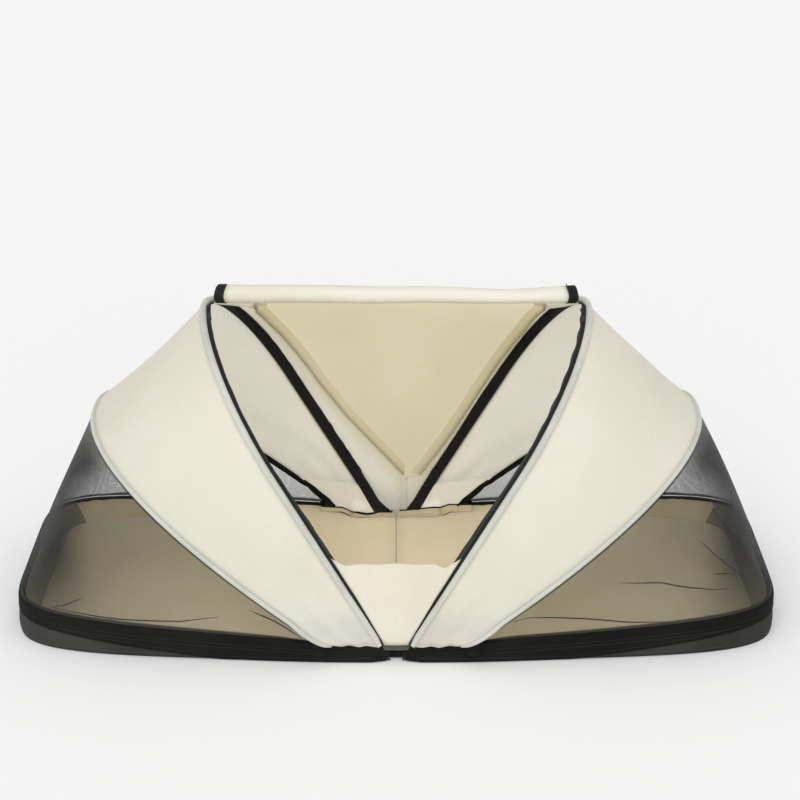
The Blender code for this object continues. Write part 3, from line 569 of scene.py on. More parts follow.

# %% [markdown]
# ## Cloth finishes
# All the cloth is woven polyester: a smooth taffeta for the shells and doors, a duller canvas for
# the base, a brushed cloth on the mattress. They share one maker, which takes the colour, the
# weave, the sheen and where the stitches run. Close to a seam the colour darkens: a little dust,
# and on the shells, the lower panel, the mattress fold and the facing behind the V, painted shade.

# %% Cloth maker
STITCH_LENGTH = 0.0032
# how far from a sewn edge the dust and the painted shade reach
DUST_AND_SHADE_REACH = 0.012


def cloth_finish(name, colour, marked, thread, threads=1700, roughness=0.8, sheen=0.15, marks=5.0,
                 weave_depth=0.00012, crinkle_depth=0.0010, stitches=(0.005,), dust_and_shade=0.10, scale=(1, 1, 1),
                 mapped=True, through=0.0, dust_and_shade_colour=None, gloss=0.25, painted_light_behind_lining=None):
    material, tree, shader = new_material(name, {"Sheen Weight": sheen, "Sheen Roughness": 0.45,
                                                 "Specular IOR Level": gloss})
    coords = put(tree, "ShaderNodeTexCoord")
    lies_along = coords.outputs["UV" if mapped else "Object"]
    woven = put(tree, "ShaderNodeGroup", {"Vector": lies_along, "Threads": threads}, node_tree=WOVEN)
    turned = put(tree, "ShaderNodeMapping", {"Vector": coords.outputs["Object"], "Scale": scale})
    soft = put(tree, "ShaderNodeGroup", {"Vector": turned.outputs["Vector"], "Scale": marks}, node_tree=MARKS)
    tone = blend_colour(tree, soft.outputs["Mask"], colour, marked)
    # painted light: a paler colour where the lining hangs before the door, so more light comes through to the
    # lining
    if painted_light_behind_lining:
        tone = blend_colour(tree, stored(tree, "painted_light_behind_lining"), tone, painted_light_behind_lining)
    dim = calc(tree, "MULTIPLY_ADD", woven.outputs["Shade"], 0.16, 0.90)
    tone = put(tree, "ShaderNodeVectorMath", {0: tone, 1: dim}, operation="MULTIPLY").outputs["Vector"]
    gap = stored(tree, "seam_gap")
    # the colour darkens close to a sewn edge: a little dust, and where a finish asks for more, painted shade
    near = ranged(tree, gap, 0.0, DUST_AND_SHADE_REACH, dust_and_shade, 0.0, smooth=True)
    tone = blend_colour(tree, near, tone, dust_and_shade_colour or darker(colour, 0.45))
    uv = put(tree, "ShaderNodeSeparateXYZ", {0: coords.outputs["UV"]})
    raised = woven.outputs["Height"]
    mask = None
    for at in stitches:
        row = put(tree, "ShaderNodeGroup", {"Run": uv.outputs["X"], "Gap": gap, "At": at,
                                            "Length": STITCH_LENGTH}, node_tree=STITCHES)
        mask = row.outputs["Mask"] if mask is None else calc(tree, "MAXIMUM", mask, row.outputs["Mask"])
    if mask is not None:
        tone = blend_colour(tree, mask, tone, thread)
        raised = calc(tree, "MULTIPLY_ADD", mask, 4.0, raised)
    tree.links.new(tone, shader.inputs["Base Color"])
    dull = ranged(tree, soft.outputs["Crinkle"], 0.0, 1.0, roughness - 0.08, roughness + 0.08)
    tree.links.new(dull, shader.inputs["Roughness"])
    slack = bumped(tree, 0.35, crinkle_depth, soft.outputs["Crinkle"])
    tree.links.new(bumped(tree, 0.5, weave_depth, raised, slack), shader.inputs["Normal"])
    if through:
        glow = put(tree, "ShaderNodeBsdfTranslucent", {"Color": tone})
        both = put(tree, "ShaderNodeMixShader", {0: through, 1: shader.outputs[0], 2: glow.outputs[0]})
        tree.links.new(both.outputs[0], tree.nodes["Material Output"].inputs["Surface"])
    return material


print("stitches", STITCH_LENGTH, "m long")

# %% Cloth colours
# painted shade: the shell turns grey close to its seams, beside the pipings, where shade falls
shell_cream = cloth_finish("shell_cream", srgb(247, 245, 234), srgb(242, 239, 226), srgb(216, 212, 194),
                           dust_and_shade=0.18, through=0.44, dust_and_shade_colour=srgb(132, 136, 130))
# painted light: paler where the lining hangs before the door, so more light comes through it to the lining
door_cream = cloth_finish("door_cream", srgb(233, 224, 194), srgb(228, 218, 186), srgb(206, 196, 166),
                          through=0.78, painted_light_behind_lining=srgb(247, 245, 238))
roll_cream = cloth_finish("roll_cream", srgb(224, 220, 207), srgb(216, 211, 194), srgb(200, 192, 170),
                          scale=(0.5, 3, 3), crinkle_depth=0.0016)
lining_pale = cloth_finish("lining_pale", srgb(250, 249, 243), srgb(247, 245, 237), srgb(206, 200, 180),
                           through=0.62)
cover_cream = cloth_finish("cover_cream", srgb(238, 236, 228), srgb(233, 230, 220), srgb(210, 205, 190),
                           stitches=())
# painted shadow: the facing darkens to olive towards the V's edge, as the lining's shadow on the door
facing_olive = cloth_finish("facing_olive", srgb(242, 238, 220), srgb(238, 233, 213), srgb(200, 193, 168),
                            stitches=(), dust_and_shade=0.45, through=0.72, dust_and_shade_colour=srgb(140, 134, 108))
tray_shade = cloth_finish("tray_shade", srgb(146, 140, 122), srgb(136, 130, 112), srgb(120, 114, 98),
                          dust_and_shade=0.2)
binding_olive = cloth_finish("binding_olive", srgb(182, 176, 152), srgb(170, 164, 140), srgb(160, 154, 130),
                             threads=1300, roughness=0.9, stitches=(), dust_and_shade=0.0)
piping_grey = cloth_finish("piping_pale_grey", srgb(197, 198, 188), srgb(188, 189, 179), srgb(182, 182, 172),
                           roughness=0.9, sheen=0.3, marks=14.0, stitches=(), threads=1200, dust_and_shade=0.0)
hem_black = cloth_finish("hem_black", srgb(29, 29, 28), srgb(22, 22, 21), srgb(48, 48, 46), threads=900,
                         roughness=0.85, sheen=0.02, gloss=0.06, stitches=(0.006,), dust_and_shade=0.0,
                         weave_depth=0.0003, crinkle_depth=0.002)
wall_grey = cloth_finish("wall_dark_grey", srgb(62, 62, 60), srgb(48, 48, 46), srgb(80, 80, 76), threads=800,
                         roughness=0.85, sheen=0.03, gloss=0.08, stitches=(0.006,),
                         weave_depth=0.0003, crinkle_depth=0.002)
# painted shade: the tan darkens to grey along the fold between the halves, where the pads dip into a shallow
# valley
mattress_tan = cloth_finish("mattress_tan", srgb(226, 213, 182), srgb(219, 205, 173), srgb(196, 182, 150),
                            threads=1100, roughness=0.9, sheen=0.35, stitches=(), weave_depth=0.0003,
                            crinkle_depth=0.0015, dust_and_shade=0.16, dust_and_shade_colour=srgb(140, 136, 122), mapped=False)
# painted shade: strong grey darkening beside the zips at the panel's sides
panel_cream = cloth_finish("panel_cream", srgb(226, 221, 205), srgb(221, 215, 198), srgb(204, 198, 180),
                           dust_and_shade=0.6, through=0.12, dust_and_shade_colour=srgb(120, 124, 118))
tray_tan = cloth_finish("tray_tan", srgb(214, 201, 171), srgb(206, 192, 161), srgb(186, 172, 140),
                        threads=1100, roughness=0.9, sheen=0.3)
welt_tan = cloth_finish("welt_tan", srgb(190, 175, 142), srgb(180, 165, 132), srgb(170, 155, 122),
                        threads=1100, roughness=0.9, sheen=0.3, stitches=(), dust_and_shade=0.0)
band_grey = cloth_finish("notch_band_grey", srgb(74, 75, 72), srgb(64, 65, 62), srgb(96, 96, 92),
                         threads=1000, stitches=(0.002,), dust_and_shade=0.0)
tape_black = cloth_finish("zip_tape_black", srgb(34, 34, 33), srgb(27, 27, 26), srgb(52, 52, 50),
                          threads=1400, roughness=0.75, sheen=0.03, gloss=0.10, stitches=(0.002,), dust_and_shade=0.0)
tape_grey = cloth_finish("zip_tape_dark_grey", srgb(62, 64, 60), srgb(52, 54, 50), srgb(84, 86, 82),
                         threads=1400, roughness=0.8, sheen=0.05, gloss=0.10, stitches=(0.002,), dust_and_shade=0.0)
print("finishes so far", len(bpy.data.materials))

# %% [markdown]
# ## Netting
# The ends are closed with mosquito net: fine black threads with openings of about one
# millimetre. Modelling each thread would take millions of faces, so the finish cuts the openings
# with the alpha channel. The net is drawn together near its seams, so it is denser there.

# %% Net finish
NET_PITCH, NET_OPEN, NET_SOFT = 0.0013, 0.30, 0.12


def net_finish(name, colour):
    material, tree, shader = new_material(name, {"Specular IOR Level": 0.12, "Sheen Weight": 0.04})
    coords = put(tree, "ShaderNodeTexCoord")
    uv = put(tree, "ShaderNodeSeparateXYZ", {0: coords.outputs["UV"]})
    waves = []
    for axis in ("X", "Y"):
        turn = calc(tree, "MULTIPLY", uv.outputs[axis], math.pi / NET_PITCH)
        waves.append(calc(tree, "ABSOLUTE", calc(tree, "SINE", turn)))
    hole = calc(tree, "MINIMUM", waves[0], waves[1])
    thread = ranged(tree, hole, NET_OPEN - NET_SOFT, NET_OPEN + NET_SOFT, 1.0, 0.0)
    seam = ranged(tree, stored(tree, "seam_gap"), 0.0045, 0.0085, 0.9, 0.0, smooth=True)
    close = calc(tree, "MAXIMUM", seam, stored(tree, "gathered"))
    rest = calc(tree, "SUBTRACT", 1.0, thread)
    tree.links.new(calc(tree, "MULTIPLY_ADD", rest, close, thread), shader.inputs["Alpha"])
    soft = put(tree, "ShaderNodeGroup", {"Vector": coords.outputs["Object"], "Scale": 9.0}, node_tree=MARKS)
    tone = blend_colour(tree, soft.outputs["Mask"], colour, darker(colour, 0.7))
    tree.links.new(tone, shader.inputs["Base Color"])
    tree.links.new(ranged(tree, soft.outputs["Crinkle"], 0.0, 1.0, 0.6, 0.8), shader.inputs["Roughness"])
    tree.links.new(bumped(tree, 0.15, 0.0003, thread), shader.inputs["Normal"])
    return material


net_black = net_finish("mosquito_net_black", srgb(40, 40, 39))
print("net", net_black.name)

# %% [markdown]
# ## Hard finishes
# The frame is blackened spring wire with fine lines along it, the rivets are blackened steel, the
# hub plates and clips are moulded plastic with a fine grain, and the zip sliders are black
# lacquer that has rubbed through at the edges.

# %% Hard finish maker
def hard_finish(name, colour, rubbed, roughness, metallic, grain=900.0, depth=0.00006, stretch=(1, 1, 1),
                radius=0.0006):
    material, tree, shader = new_material(name, {"Metallic": metallic})
    coords = put(tree, "ShaderNodeTexCoord")
    turned = put(tree, "ShaderNodeMapping", {"Vector": coords.outputs["Object"], "Scale": stretch})
    lines = put(tree, "ShaderNodeTexNoise", {"Vector": turned.outputs["Vector"], "Scale": grain,
                                             "Detail": 3.0})
    place = coords.outputs["Object"]
    soft = put(tree, "ShaderNodeGroup", {"Vector": place, "Scale": 30.0}, node_tree=MARKS)
    edges = put(tree, "ShaderNodeGroup", {"Vector": place, "Radius": radius}, node_tree=RUBBED)
    marked = calc(tree, "MULTIPLY", soft.outputs["Mask"], 0.35)
    tone = blend_colour(tree, marked, colour, darker(colour, 0.7))
    tree.links.new(blend_colour(tree, edges.outputs["Mask"], tone, rubbed), shader.inputs["Base Color"])
    rough = ranged(tree, lines.outputs["Fac"], 0.0, 1.0, roughness - 0.08, roughness + 0.10)
    tree.links.new(rough, shader.inputs["Roughness"])
    tree.links.new(bumped(tree, 0.4, depth, lines.outputs["Fac"]), shader.inputs["Normal"])
    return material


HARD = {
    "spring_steel": hard_finish("blackened_spring_wire", srgb(56, 56, 55), srgb(120, 120, 118), 0.40, 1.0,
                                grain=600.0, stretch=(0.15, 1, 1)),
    "rivet_steel": hard_finish("blackened_rivet_steel", srgb(52, 52, 51), srgb(128, 127, 124), 0.42, 1.0),
    "moulded_plastic": hard_finish("moulded_dark_plastic", srgb(58, 58, 57), srgb(92, 92, 90), 0.5, 0.0,
                                   grain=1500.0, depth=0.0001),
    "zip_slider": hard_finish("black_slider_lacquer", srgb(20, 20, 20), srgb(52, 51, 49), 0.60, 0.0),
}
coil_black = hard_finish("zip_coil_plastic", srgb(30, 30, 30), srgb(60, 60, 58), 0.4, 0.0, grain=1800.0)
for name, made in HARD.items():
    print(name, made.name)

# %% [markdown]
# ## How far cloth would follow the hoops
# A shell is sewn to a tall hoop and to a low one, and both turn. Each point gets a share of the
# turn about the hub rivets, as far as its own angle asks: not at all on the base, all the way on
# the tall hoop. The feet stay with the base. The net gets the same about the rivets of the low
# hoop. Doors, lining and floor get shares between the spine and the halves of the base. The
# shares are only worked out here; no piece is bent by them.

# %% Shares of the turn
# the angle at which the net lies on the base
NET_FLAT = math.radians(3.5)


def turn_share(side, pin_x, pin_z, low, high, reach):
    # how far a point turns with a hoop: not at all at the angle low, and all the way at high
    def share(co):
        x, z = side * co.x - pin_x, co.z - pin_z
        if z <= 0:
            return 0.0
        angle = (math.atan2(z, x) - low) / (high - low)
        return min(max(angle, 0.0), 1.0) * ease(math.hypot(x, z) / reach)
    return share


def bend_upper(piece, side, word):
    return bend(piece,
                tuple(on_upper(side, 0.3, 0)), turn_share(side, PIN_X, PIN_Z, 0.0, UPPER_ANGLE, 0.06))


def bend_lower(piece, side, word):
    return bend(piece,
                tuple(on_lower(side, 0.3, 0)),
                turn_share(side, LOWER_X, LOWER_Z, NET_FLAT, LOWER_ANGLE, 0.055))


def bend_door(piece, side, word, height=0.2, out=0.3):
    # shares between the spine and a half of the base, from the weights that the sheet has already
    return bend(piece, (side * out, 0, height))


def floor_share(x):
    # how far the floor near the fold turns with its half of the base
    return ease(x / 0.045)


def bend_floor(piece, side, word):
    return bend(piece, (side * 0.05, 0, 0),
                lambda co: floor_share(side * co.x))


# %% [markdown]
# ## The shells
# Each shell is one cream sheet from the tall hoop to the low hoop, front to rear, and it runs on
# down over the hinge to the hem. It could be ruled straight between the hoops, but real cloth
# sags in between and creases towards its corners, so the sheet is drawn in by a few millimetres
# with a slow unevenness and some soft folds that start at the feet.

# %% Shells
ALONG, ACROSS = 180, 44
shells = {}
CENTRE = Vector((0.22, 0, 0.11))


def soft_folds(point, t, v, seed):
    wide = noise.noise(point * 5.5 + Vector((seed, 0, 0))) * 0.0032
    small = noise.noise(point * 17.0 + Vector((0, seed, 0))) * 0.0011
    foot = min(t, 1 - t)
    fan = math.sin(2 * math.pi * (2.6 * v + 0.15 * seed) + 9 * foot) * 0.0020 * math.exp(-foot / 0.10)
    # broad folds that slant up from the low hoop's foot
    slant = math.sin(2 * math.pi * (1.5 * v - 5.5 * foot) + seed) * 0.0016
    slant *= math.exp(-((foot - 0.15) / 0.09) ** 2)
    return (wide + small + fan + slant) * math.sin(math.pi * v) ** 0.7


for side, word in SIDES:
    top, low = spaced(upper_line(side), ALONG + 1), spaced(lower_line(side), ALONG + 1)
    middle = Vector((side * CENTRE.x, 0, CENTRE.z))

    def place(t, v):
        i = round(t * ALONG)
        point = top[i].lerp(low[i], v)
        inward = (middle - point).normalized()
        sag = 0.003 * math.sin(math.pi * v) * math.sin(math.pi * t)
        return point + inward * (sag + soft_folds(point, t, v, 1.7 if side > 0 else 4.2))

    shell = sheet_of_cloth("shell_cloth_" + word, ALONG, ACROSS, place, sewn=("top", "bottom", "ends"))
    dress(shell, shell_cream, stands_for=["shell_" + word])
    bend_upper(shell, side, word)
    shells[word] = shell

# %% [markdown]
# ## The pipings
# A rod runs in a padded tube of pale grey knit. On the tall hoop it is plump, on the low hoop
# slim. A tube swept along the rod's line makes it, with a slight unevenness where the padding
# has shifted, and it thins out into its foot on the hem.

# %% Pipings
def piping_radius(size, seed):
    def radius(t):
        foot = ease(min(t, 1 - t) / 0.012) * 0.35 + 0.65
        return size * foot * (1 + 0.05 * noise.noise(Vector((t * 60, seed, 0))))
    return radius


TALL_RADIUS, SLIM_RADIUS = 0.0055, 0.0037
for side, word in SIDES:
    tall = tube_of_cloth("upper_piping_" + word, spaced(upper_line(side), 221),
                         piping_radius(TALL_RADIUS, side), 14)
    dress(tall, piping_grey, stands_for=["upper_hoop_piping_" + word])
    bend_upper(tall, side, word)
    slim = tube_of_cloth("lower_piping_" + word, spaced(lower_line(side), 221),
                         piping_radius(SLIM_RADIUS, 5 + side), 12)
    dress(slim, piping_grey, stands_for=["lower_hoop_piping_" + word])
    bend_lower(slim, side, word)
    print(tall.name, slim.name, "triangles", 2 * (len(tall.data.polygons) + len(slim.data.polygons)))

# %% [markdown]
# ## The nets
# A net closes each end, from the low hoop down to the hem. It is stretched less tightly than the
# shell and gathers into small folds at the two corners of the base, where the rim turns.

# %% Nets
NET_ALONG, NET_ACROSS = 200, 40
nets = {}


def net_rim(side, count):
    # the rim from the front foot of the low hoop round to the rear foot
    rim = rim_line(side, -0.0015)
    start = min(range(len(rim)), key=lambda k: abs(abs(rim[k].x) - LOWER_FOOT[0]) + (rim[k].y > 0) * 9)
    return spaced(rim[start:len(rim) - start], count)


for side, word in SIDES:
    top = spaced(lower_line(side), NET_ALONG + 1)
    rim = net_rim(side, NET_ALONG + 1)
    middle = Vector((side * 0.30, 0, 0.12))

    def corner(t):
        # 1 at the two corners of the base, where the net gathers
        return max(math.exp(-((t - at) / 0.06) ** 2) for at in (0.30, 0.70))

    def place(t, v):
        i = round(t * NET_ALONG)
        point = top[i].lerp(rim[i] + Vector((0, 0, 0.001)), v)
        inward = (middle - point).normalized()
        sag = (0.0 if side < 0 else -0.0055) * math.sin(math.pi * v) * math.sin(math.pi * t) ** 4
        folds = math.sin(2 * math.pi * 26 * t) * 0.0035 * corner(t) * v
        wide = noise.noise(point * 6 + Vector((9, side, 0))) * 0.003
        return point + inward * (sag + (folds + wide) * math.sin(math.pi * v) ** 0.6)

    net = sheet_of_cloth("net_cloth_" + word, NET_ALONG, NET_ACROSS, place)
    gathered = net.data.attributes.new("gathered", "FLOAT", "POINT")
    dense = []
    for vert in net.data.vertices:
        end = ease((abs(vert.co.x) - 0.455) / 0.085)
        dense.append(end * (0.32 + 0.58 * ease((vert.co.z - 0.06) / 0.09)))
    gathered.data.foreach_set("value", dense)
    dress(net, net_black, stands_for=["side_net_" + word])
    bend_lower(net, side, word)
    nets[word] = net

# %% [markdown]
# ## Creases of the nets
# Where the net has been folded it shows thin dark lines, in which several threads lie together.
# Each crease is a thin tube along a few points in front view, x out from the middle and z up,
# laid on the front of the net by a ray towards the door.

# %% Creases of the nets
CREASES = {
    "left": (((0.544, 0.067), (0.511, 0.066), (0.469, 0.063), (0.427, 0.060), (0.381, 0.060), (0.330, 0.061),
              (0.268, 0.072)),
             ((0.225, 0.087), (0.187, 0.070), (0.143, 0.042)),
             ((0.530, 0.068), (0.516, 0.072), (0.484, 0.087))),
    "right": (((0.467, 0.172), (0.494, 0.146), (0.528, 0.117), (0.555, 0.096)),
              ((0.488, 0.121), (0.510, 0.119), (0.528, 0.114)),
              ((0.336, 0.125), (0.408, 0.119), (0.454, 0.106), (0.516, 0.096)),
              ((0.177, 0.068), (0.204, 0.074), (0.235, 0.073), (0.293, 0.068), (0.358, 0.059),
               (0.430, 0.056)),
              ((0.488, 0.212), (0.505, 0.188), (0.526, 0.166), (0.543, 0.141))),
}
CREASE_PROUD = 0.0004


def crease_radius(t):
    return 0.0002 + 0.0009 * math.sin(math.pi * t) ** 0.7


bpy.context.view_layer.update()
for side, word in SIDES:
    for number, crease in enumerate(CREASES[word]):
        line = []
        for spot in spaced([Vector((x, 0, z)) for x, z in crease], 41):
            start = Vector((side * spot.x, 0, spot.z))
            found, at, way, index = nets[word].ray_cast(start, Vector((0, -1, 0)))
            if found:
                line.append(at + Vector((0, -CREASE_PROUD, 0)))
        fold = tube_of_cloth("net_crease_%s_%d" % (word, number), line, crease_radius, 6)
        dress(fold, tape_grey)
        bend_lower(fold, side, word)
        print(fold.name, len(line), "points")

# %% [markdown]
# ## Bindings inside the low hoops
# The seam of net, shell and piping is covered on the inside by a black strip. It lies over the
# piping of the low hoop, half on the shell and half on the net.

# %% Bindings inside the low hoops
# half the width that shows, the way in from the hoop's line, and the width it is cut to
BINDING_HALF, BINDING_IN, BINDING_WIDTH = 0.0053, 0.0054, 0.0108
for side, word in SIDES:
    tall, low = spaced(upper_line(side), 221), spaced(lower_line(side), 221)
    rim = net_rim(side, 221)

    def place(t, v):
        i = round((0.025 + 0.95 * t) * 220)
        up, down = (tall[i] - low[i]).normalized(), (rim[i] - low[i]).normalized()
        inward = (Vector((side * 0.26, 0, 0.11)) - low[i]).normalized()
        return low[i] + (up if v < 0.5 else down) * (BINDING_HALF * abs(2 * v - 1)) + inward * BINDING_IN

    binding = sheet_of_cloth("low_hoop_binding_" + word, 209, 6, place)
    dress(binding, hem_black, thick=CLOTH_THICK)
    bend_lower(binding, side, word)

# %% [markdown]
# ## Zips
# A zip tape runs beside each leg of the tall hoops. At the front it is narrow, since the door is
# rolled away and only one half of the zip is left above the fixed cloth. At the rear both halves
# are closed. The coil is one long spring of plastic: a helix, swept as a thin tube.

# %% Zip tapes and coils
ZIP_STEPS = 200
REAR_TAPE = 0.0208
COIL_RADIUS, COIL_PITCH, COIL_WIRE = 0.0012, 0.0020, 0.0004


def beside_piping(run):
    # the tape tucks in under the piping towards the foot
    return 0.0058 * (0.35 + 0.65 * ease(run / 0.10))


def leg_line(side, rear, top_y):
    line = [p for p in upper_line(side) if (p.y > top_y if rear else p.y < -top_y)]
    line = line[::-1] if rear else line
    return spaced(line, ZIP_STEPS + 1)


def tape_start(run, rear):
    # where the tape's outer edge is, inwards from the hoop's line
    return -0.0020 if rear else beside_piping(run)


def rear_taper(run):
    # the rear tapes are half as wide at the foot
    return 0.50 + 0.50 * ease(run / 0.07)


def tape_width(run, rear):
    if rear:
        wave = 0.0018 * noise.noise(Vector((run * 30, 3, 0))) + 0.0022 * noise.noise(Vector((run * 62, 1, 0)))
        return (REAR_TAPE + wave) * rear_taper(run)
    return 0.0062 + 0.0004 * noise.noise(Vector((run * 30, 8, 0)))


def coil_of(name, line):
    # an oval spring along the line, with eight points to a turn
    turns = int(length_of(line) / COIL_PITCH)
    smooth_line = spaced(line, turns * 8 + 1)
    spiral = []
    for i, (point, (way, a, b)) in enumerate(zip(smooth_line, frames_along(smooth_line))):
        turn = 2 * math.pi * i / 8
        spiral.append(point + a * (COIL_RADIUS * math.cos(turn)) + b * (0.6 * COIL_RADIUS * math.sin(turn)))
    return tube_of_cloth(name, spiral, COIL_WIRE, 4)


for side, word in SIDES:
    for rear, label in ((False, "front"), (True, "rear")):
        line = leg_line(side, rear, 0.004 if rear else 0.010)
        length = length_of(line)

        def across(i, v):
            run = length * i / ZIP_STEPS
            near = tape_start(run, rear)
            wide = tape_width(run, rear)
            spot = line[i] - Vector((side * (near + wide * v), 0, 0))
            if rear:
                # it wraps the inside of the piping
                before, after = line[max(i - 1, 0)], line[min(i + 1, ZIP_STEPS)]
                way = Vector((0, after.y - before.y, after.z - before.z)).normalized()
                wrap = 0.0010 + 0.0058 * (1 - ease((v - 0.25) / 0.5))
                spot += Vector((0, -abs(way.z), -abs(way.y))) * wrap
            spot.z += over_ridge(spot.y) * (1.0 if rear else 1.3)
            return spot

        tape = sheet_of_cloth(label + "_zip_tape_" + word, ZIP_STEPS, 6,
                              lambda t, v: across(round(t * ZIP_STEPS), v))
        dress(tape, tape_black, stands_for=[label + "_zip_" + word], thick=CLOTH_THICK)
        bend_upper(tape, side, word)
        at = 0.55 if rear else 0.93
        beside = Vector((0, -0.0009, -0.0004)) if rear else Vector((0, 0.0006, 0.0004))
        middle = [across(i, at) + beside for i in range(ZIP_STEPS + 1)]
        coil = coil_of(label + "_zip_coil_" + word, middle)
        dress(coil, coil_black)
        bend_upper(coil, side, word)
        print(tape.name, round(length, 3), "m long, coil faces", len(coil.data.polygons))

# %% [markdown]
# ## Loose halves of the front zips
# Above the fixed cloth the door's half of each zip is gone with the door. The half that stays on
# the hoop has a grey edge beside it that isn't held down, so it waves a little.

# %% Loose halves of the front zips
PANEL_TOP = 0.1475
for side, word in SIDES:
    line = spaced([p for p in leg_line(side, False, 0.010) if p.z > PANEL_TOP], ZIP_STEPS + 1)

    def place(t, v):
        i = round(t * ZIP_STEPS)
        ragged = 0.0012 * noise.noise(Vector((t * 16, side * 4, 0))) * ease(t / 0.1)
        if side > 0:
            ragged += 0.0010 * math.sin(t * 70) * ease((t - 0.35) / 0.2)
        foot, loss = (0.0082, 0.0050) if side > 0 else (0.0050, 0.0036)
        wide = foot - loss * ease(t / 0.45) + ragged
        back = 0.0010 + 0.0014 * v + 0.0008 * noise.noise(Vector((t * 22, v * 2, side)))
        return line[i] - Vector((side * (0.0110 + wide * v), -back, 0))

    loose = sheet_of_cloth("front_zip_loose_half_" + word, ZIP_STEPS, 6, place, sewn=("top",))
    dress(loose, tape_grey, thick=CLOTH_THICK)
    bend_upper(loose, side, word)
    print(loose.name, round(length_of(line), 3), "m long")

# %% [markdown]
# ## The rear door and its lining
# The rear door is one cloth over the arch of the tall hoops, zipped at both sides. It is made
# here as two halves that meet in the middle, because each half has to follow its own hoop when
# the tent folds. Inside it hangs a second cloth with a V-shaped opening, bound along its edge.

# %% Rear door
HOOP_SHARE = 31.9 / 85.0
REAR = [p for p in upper_line(1) if p.y >= -0.0005]
DOOR_ROWS, DOOR_COLUMNS = 120, 40
rear_rows = spaced(REAR, DOOR_ROWS + 1)
REAR_LENGTH = length_of(rear_rows)


def rear_edge(i):
    run = REAR_LENGTH * (1 - i / DOOR_ROWS)
    return max(rear_rows[i].x + 0.0020 - REAR_TAPE * rear_taper(run) + 0.0015, 0.004)


def inner_way(i):
    a, b = rear_rows[max(i - 1, 0)], rear_rows[min(i + 1, DOOR_ROWS)]
    way = Vector((0, b.y - a.y, b.z - a.z)).normalized()
    return Vector((0, way.z, -way.y)) if way.z < 0 else Vector((0, -way.z, way.y))


# the edge of the V, as distance from the middle at a run up the hoop's leg; the two halves meet at
# TIP_X, a little to the right of the middle
TIP_X = 0.0137
V_LEFT = ((0.0, 0.066, 0.076, 0.196, 0.271, 0.35, 0.42, 0.48, 0.655),
          (-TIP_X, -TIP_X, -0.0067, 0.0853, 0.1335, 0.1765, 0.2105, 0.2307, 0.2232))
V_RIGHT = ((0.0, 0.0655, 0.0665, 0.123, 0.187, 0.265, 0.356, 0.49, 0.655),
           (TIP_X, TIP_X, 0.0402, 0.0752, 0.1124, 0.161, 0.2029, 0.2443, 0.235))


def lining_opening(i, side):
    run = REAR_LENGTH * (1 - i / DOOR_ROWS) - 0.0305
    return min(float(np.interp(run, *(V_RIGHT if side > 0 else V_LEFT))), rear_edge(i) - 0.010)


ROW_HEIGHTS = [point.z - point.y for point in rear_rows]


def behind_lining(co, side):
    # 1 where the lining hangs before the door, and 0 inside the V; the door is painted paler there, as
    # painted light that brightens the lining in front of it
    i = int(round(float(np.interp(-(co.z - co.y), [-h for h in ROW_HEIGHTS], range(DOOR_ROWS + 1)))))
    return ease((side * co.x - lining_opening(max(i - 4, 0), side)) / 0.010)


def half_door(side):
    def place(t, v):
        i = round(t * DOOR_ROWS)
        edge = rear_edge(i)
        point = Vector((side * v * edge, rear_rows[i].y, rear_rows[i].z)) - inner_way(i) * 0.0012
        spot = Vector((abs(point.x) * 5, point.y * 5, point.z * 5))
        loose = 0.004 * (1 - v * v) * math.sin(math.pi * t)
        loose += 0.0035 * noise.noise(spot + Vector((0, 0, 3))) * (1 - v ** 6) * math.sin(math.pi * t)
        point -= inner_way(i) * loose
        point.z += over_ridge(point.y)
        return point
    return place


for side, word in SIDES:
    door = sheet_of_cloth("rear_door_half_" + word, DOOR_ROWS, DOOR_COLUMNS, half_door(side),
                          sewn=("bottom",), follow=lambda t, v: HOOP_SHARE * v)
    # painted light: the share of the paler door colour behind the lining
    painted_light_behind_lining = door.data.attributes.new("painted_light_behind_lining", "FLOAT", "POINT")
    painted_light_behind_lining.data.foreach_set("value", [behind_lining(vert.co, side) for vert in door.data.vertices])
    dress(door, door_cream, stands_for=["rear_door"])
    bend_door(door, side, word)

# %% [markdown]
# ## The lining
# Each half of the lining runs from the zip to the edge of the V. The edge is bound with a thin
# olive tube, and a facing, a strip of the same cloth turned in, lies behind it on the door. The
# facing darkens to olive towards the edge: painted shadow of the lining on the door.

# %% Lining with its V
LINING = [i for i in range(DOOR_ROWS + 1) if rear_rows[i].z > 0.024]
LINING_ROWS = len(LINING) - 1
# the cloth over a hub: where the bend of its section starts and ends, its foot, and how far from
# the middle the side of the mattress, the piping and the shell are
COVER_BEND, COVER_TOP, COVER_LOW = 0.034, 0.078, 0.0205
PAD_Y, PIPING_Y, SHELL_Y = 0.2390, 0.2480, 0.2725


def wall_over_hub(z):
    # how far out the cloth over a hub lies, from the side of the mattress up to the piping
    return PAD_Y + (PIPING_Y - PAD_Y) * ease((z - COVER_BEND) / (COVER_TOP - COVER_BEND))


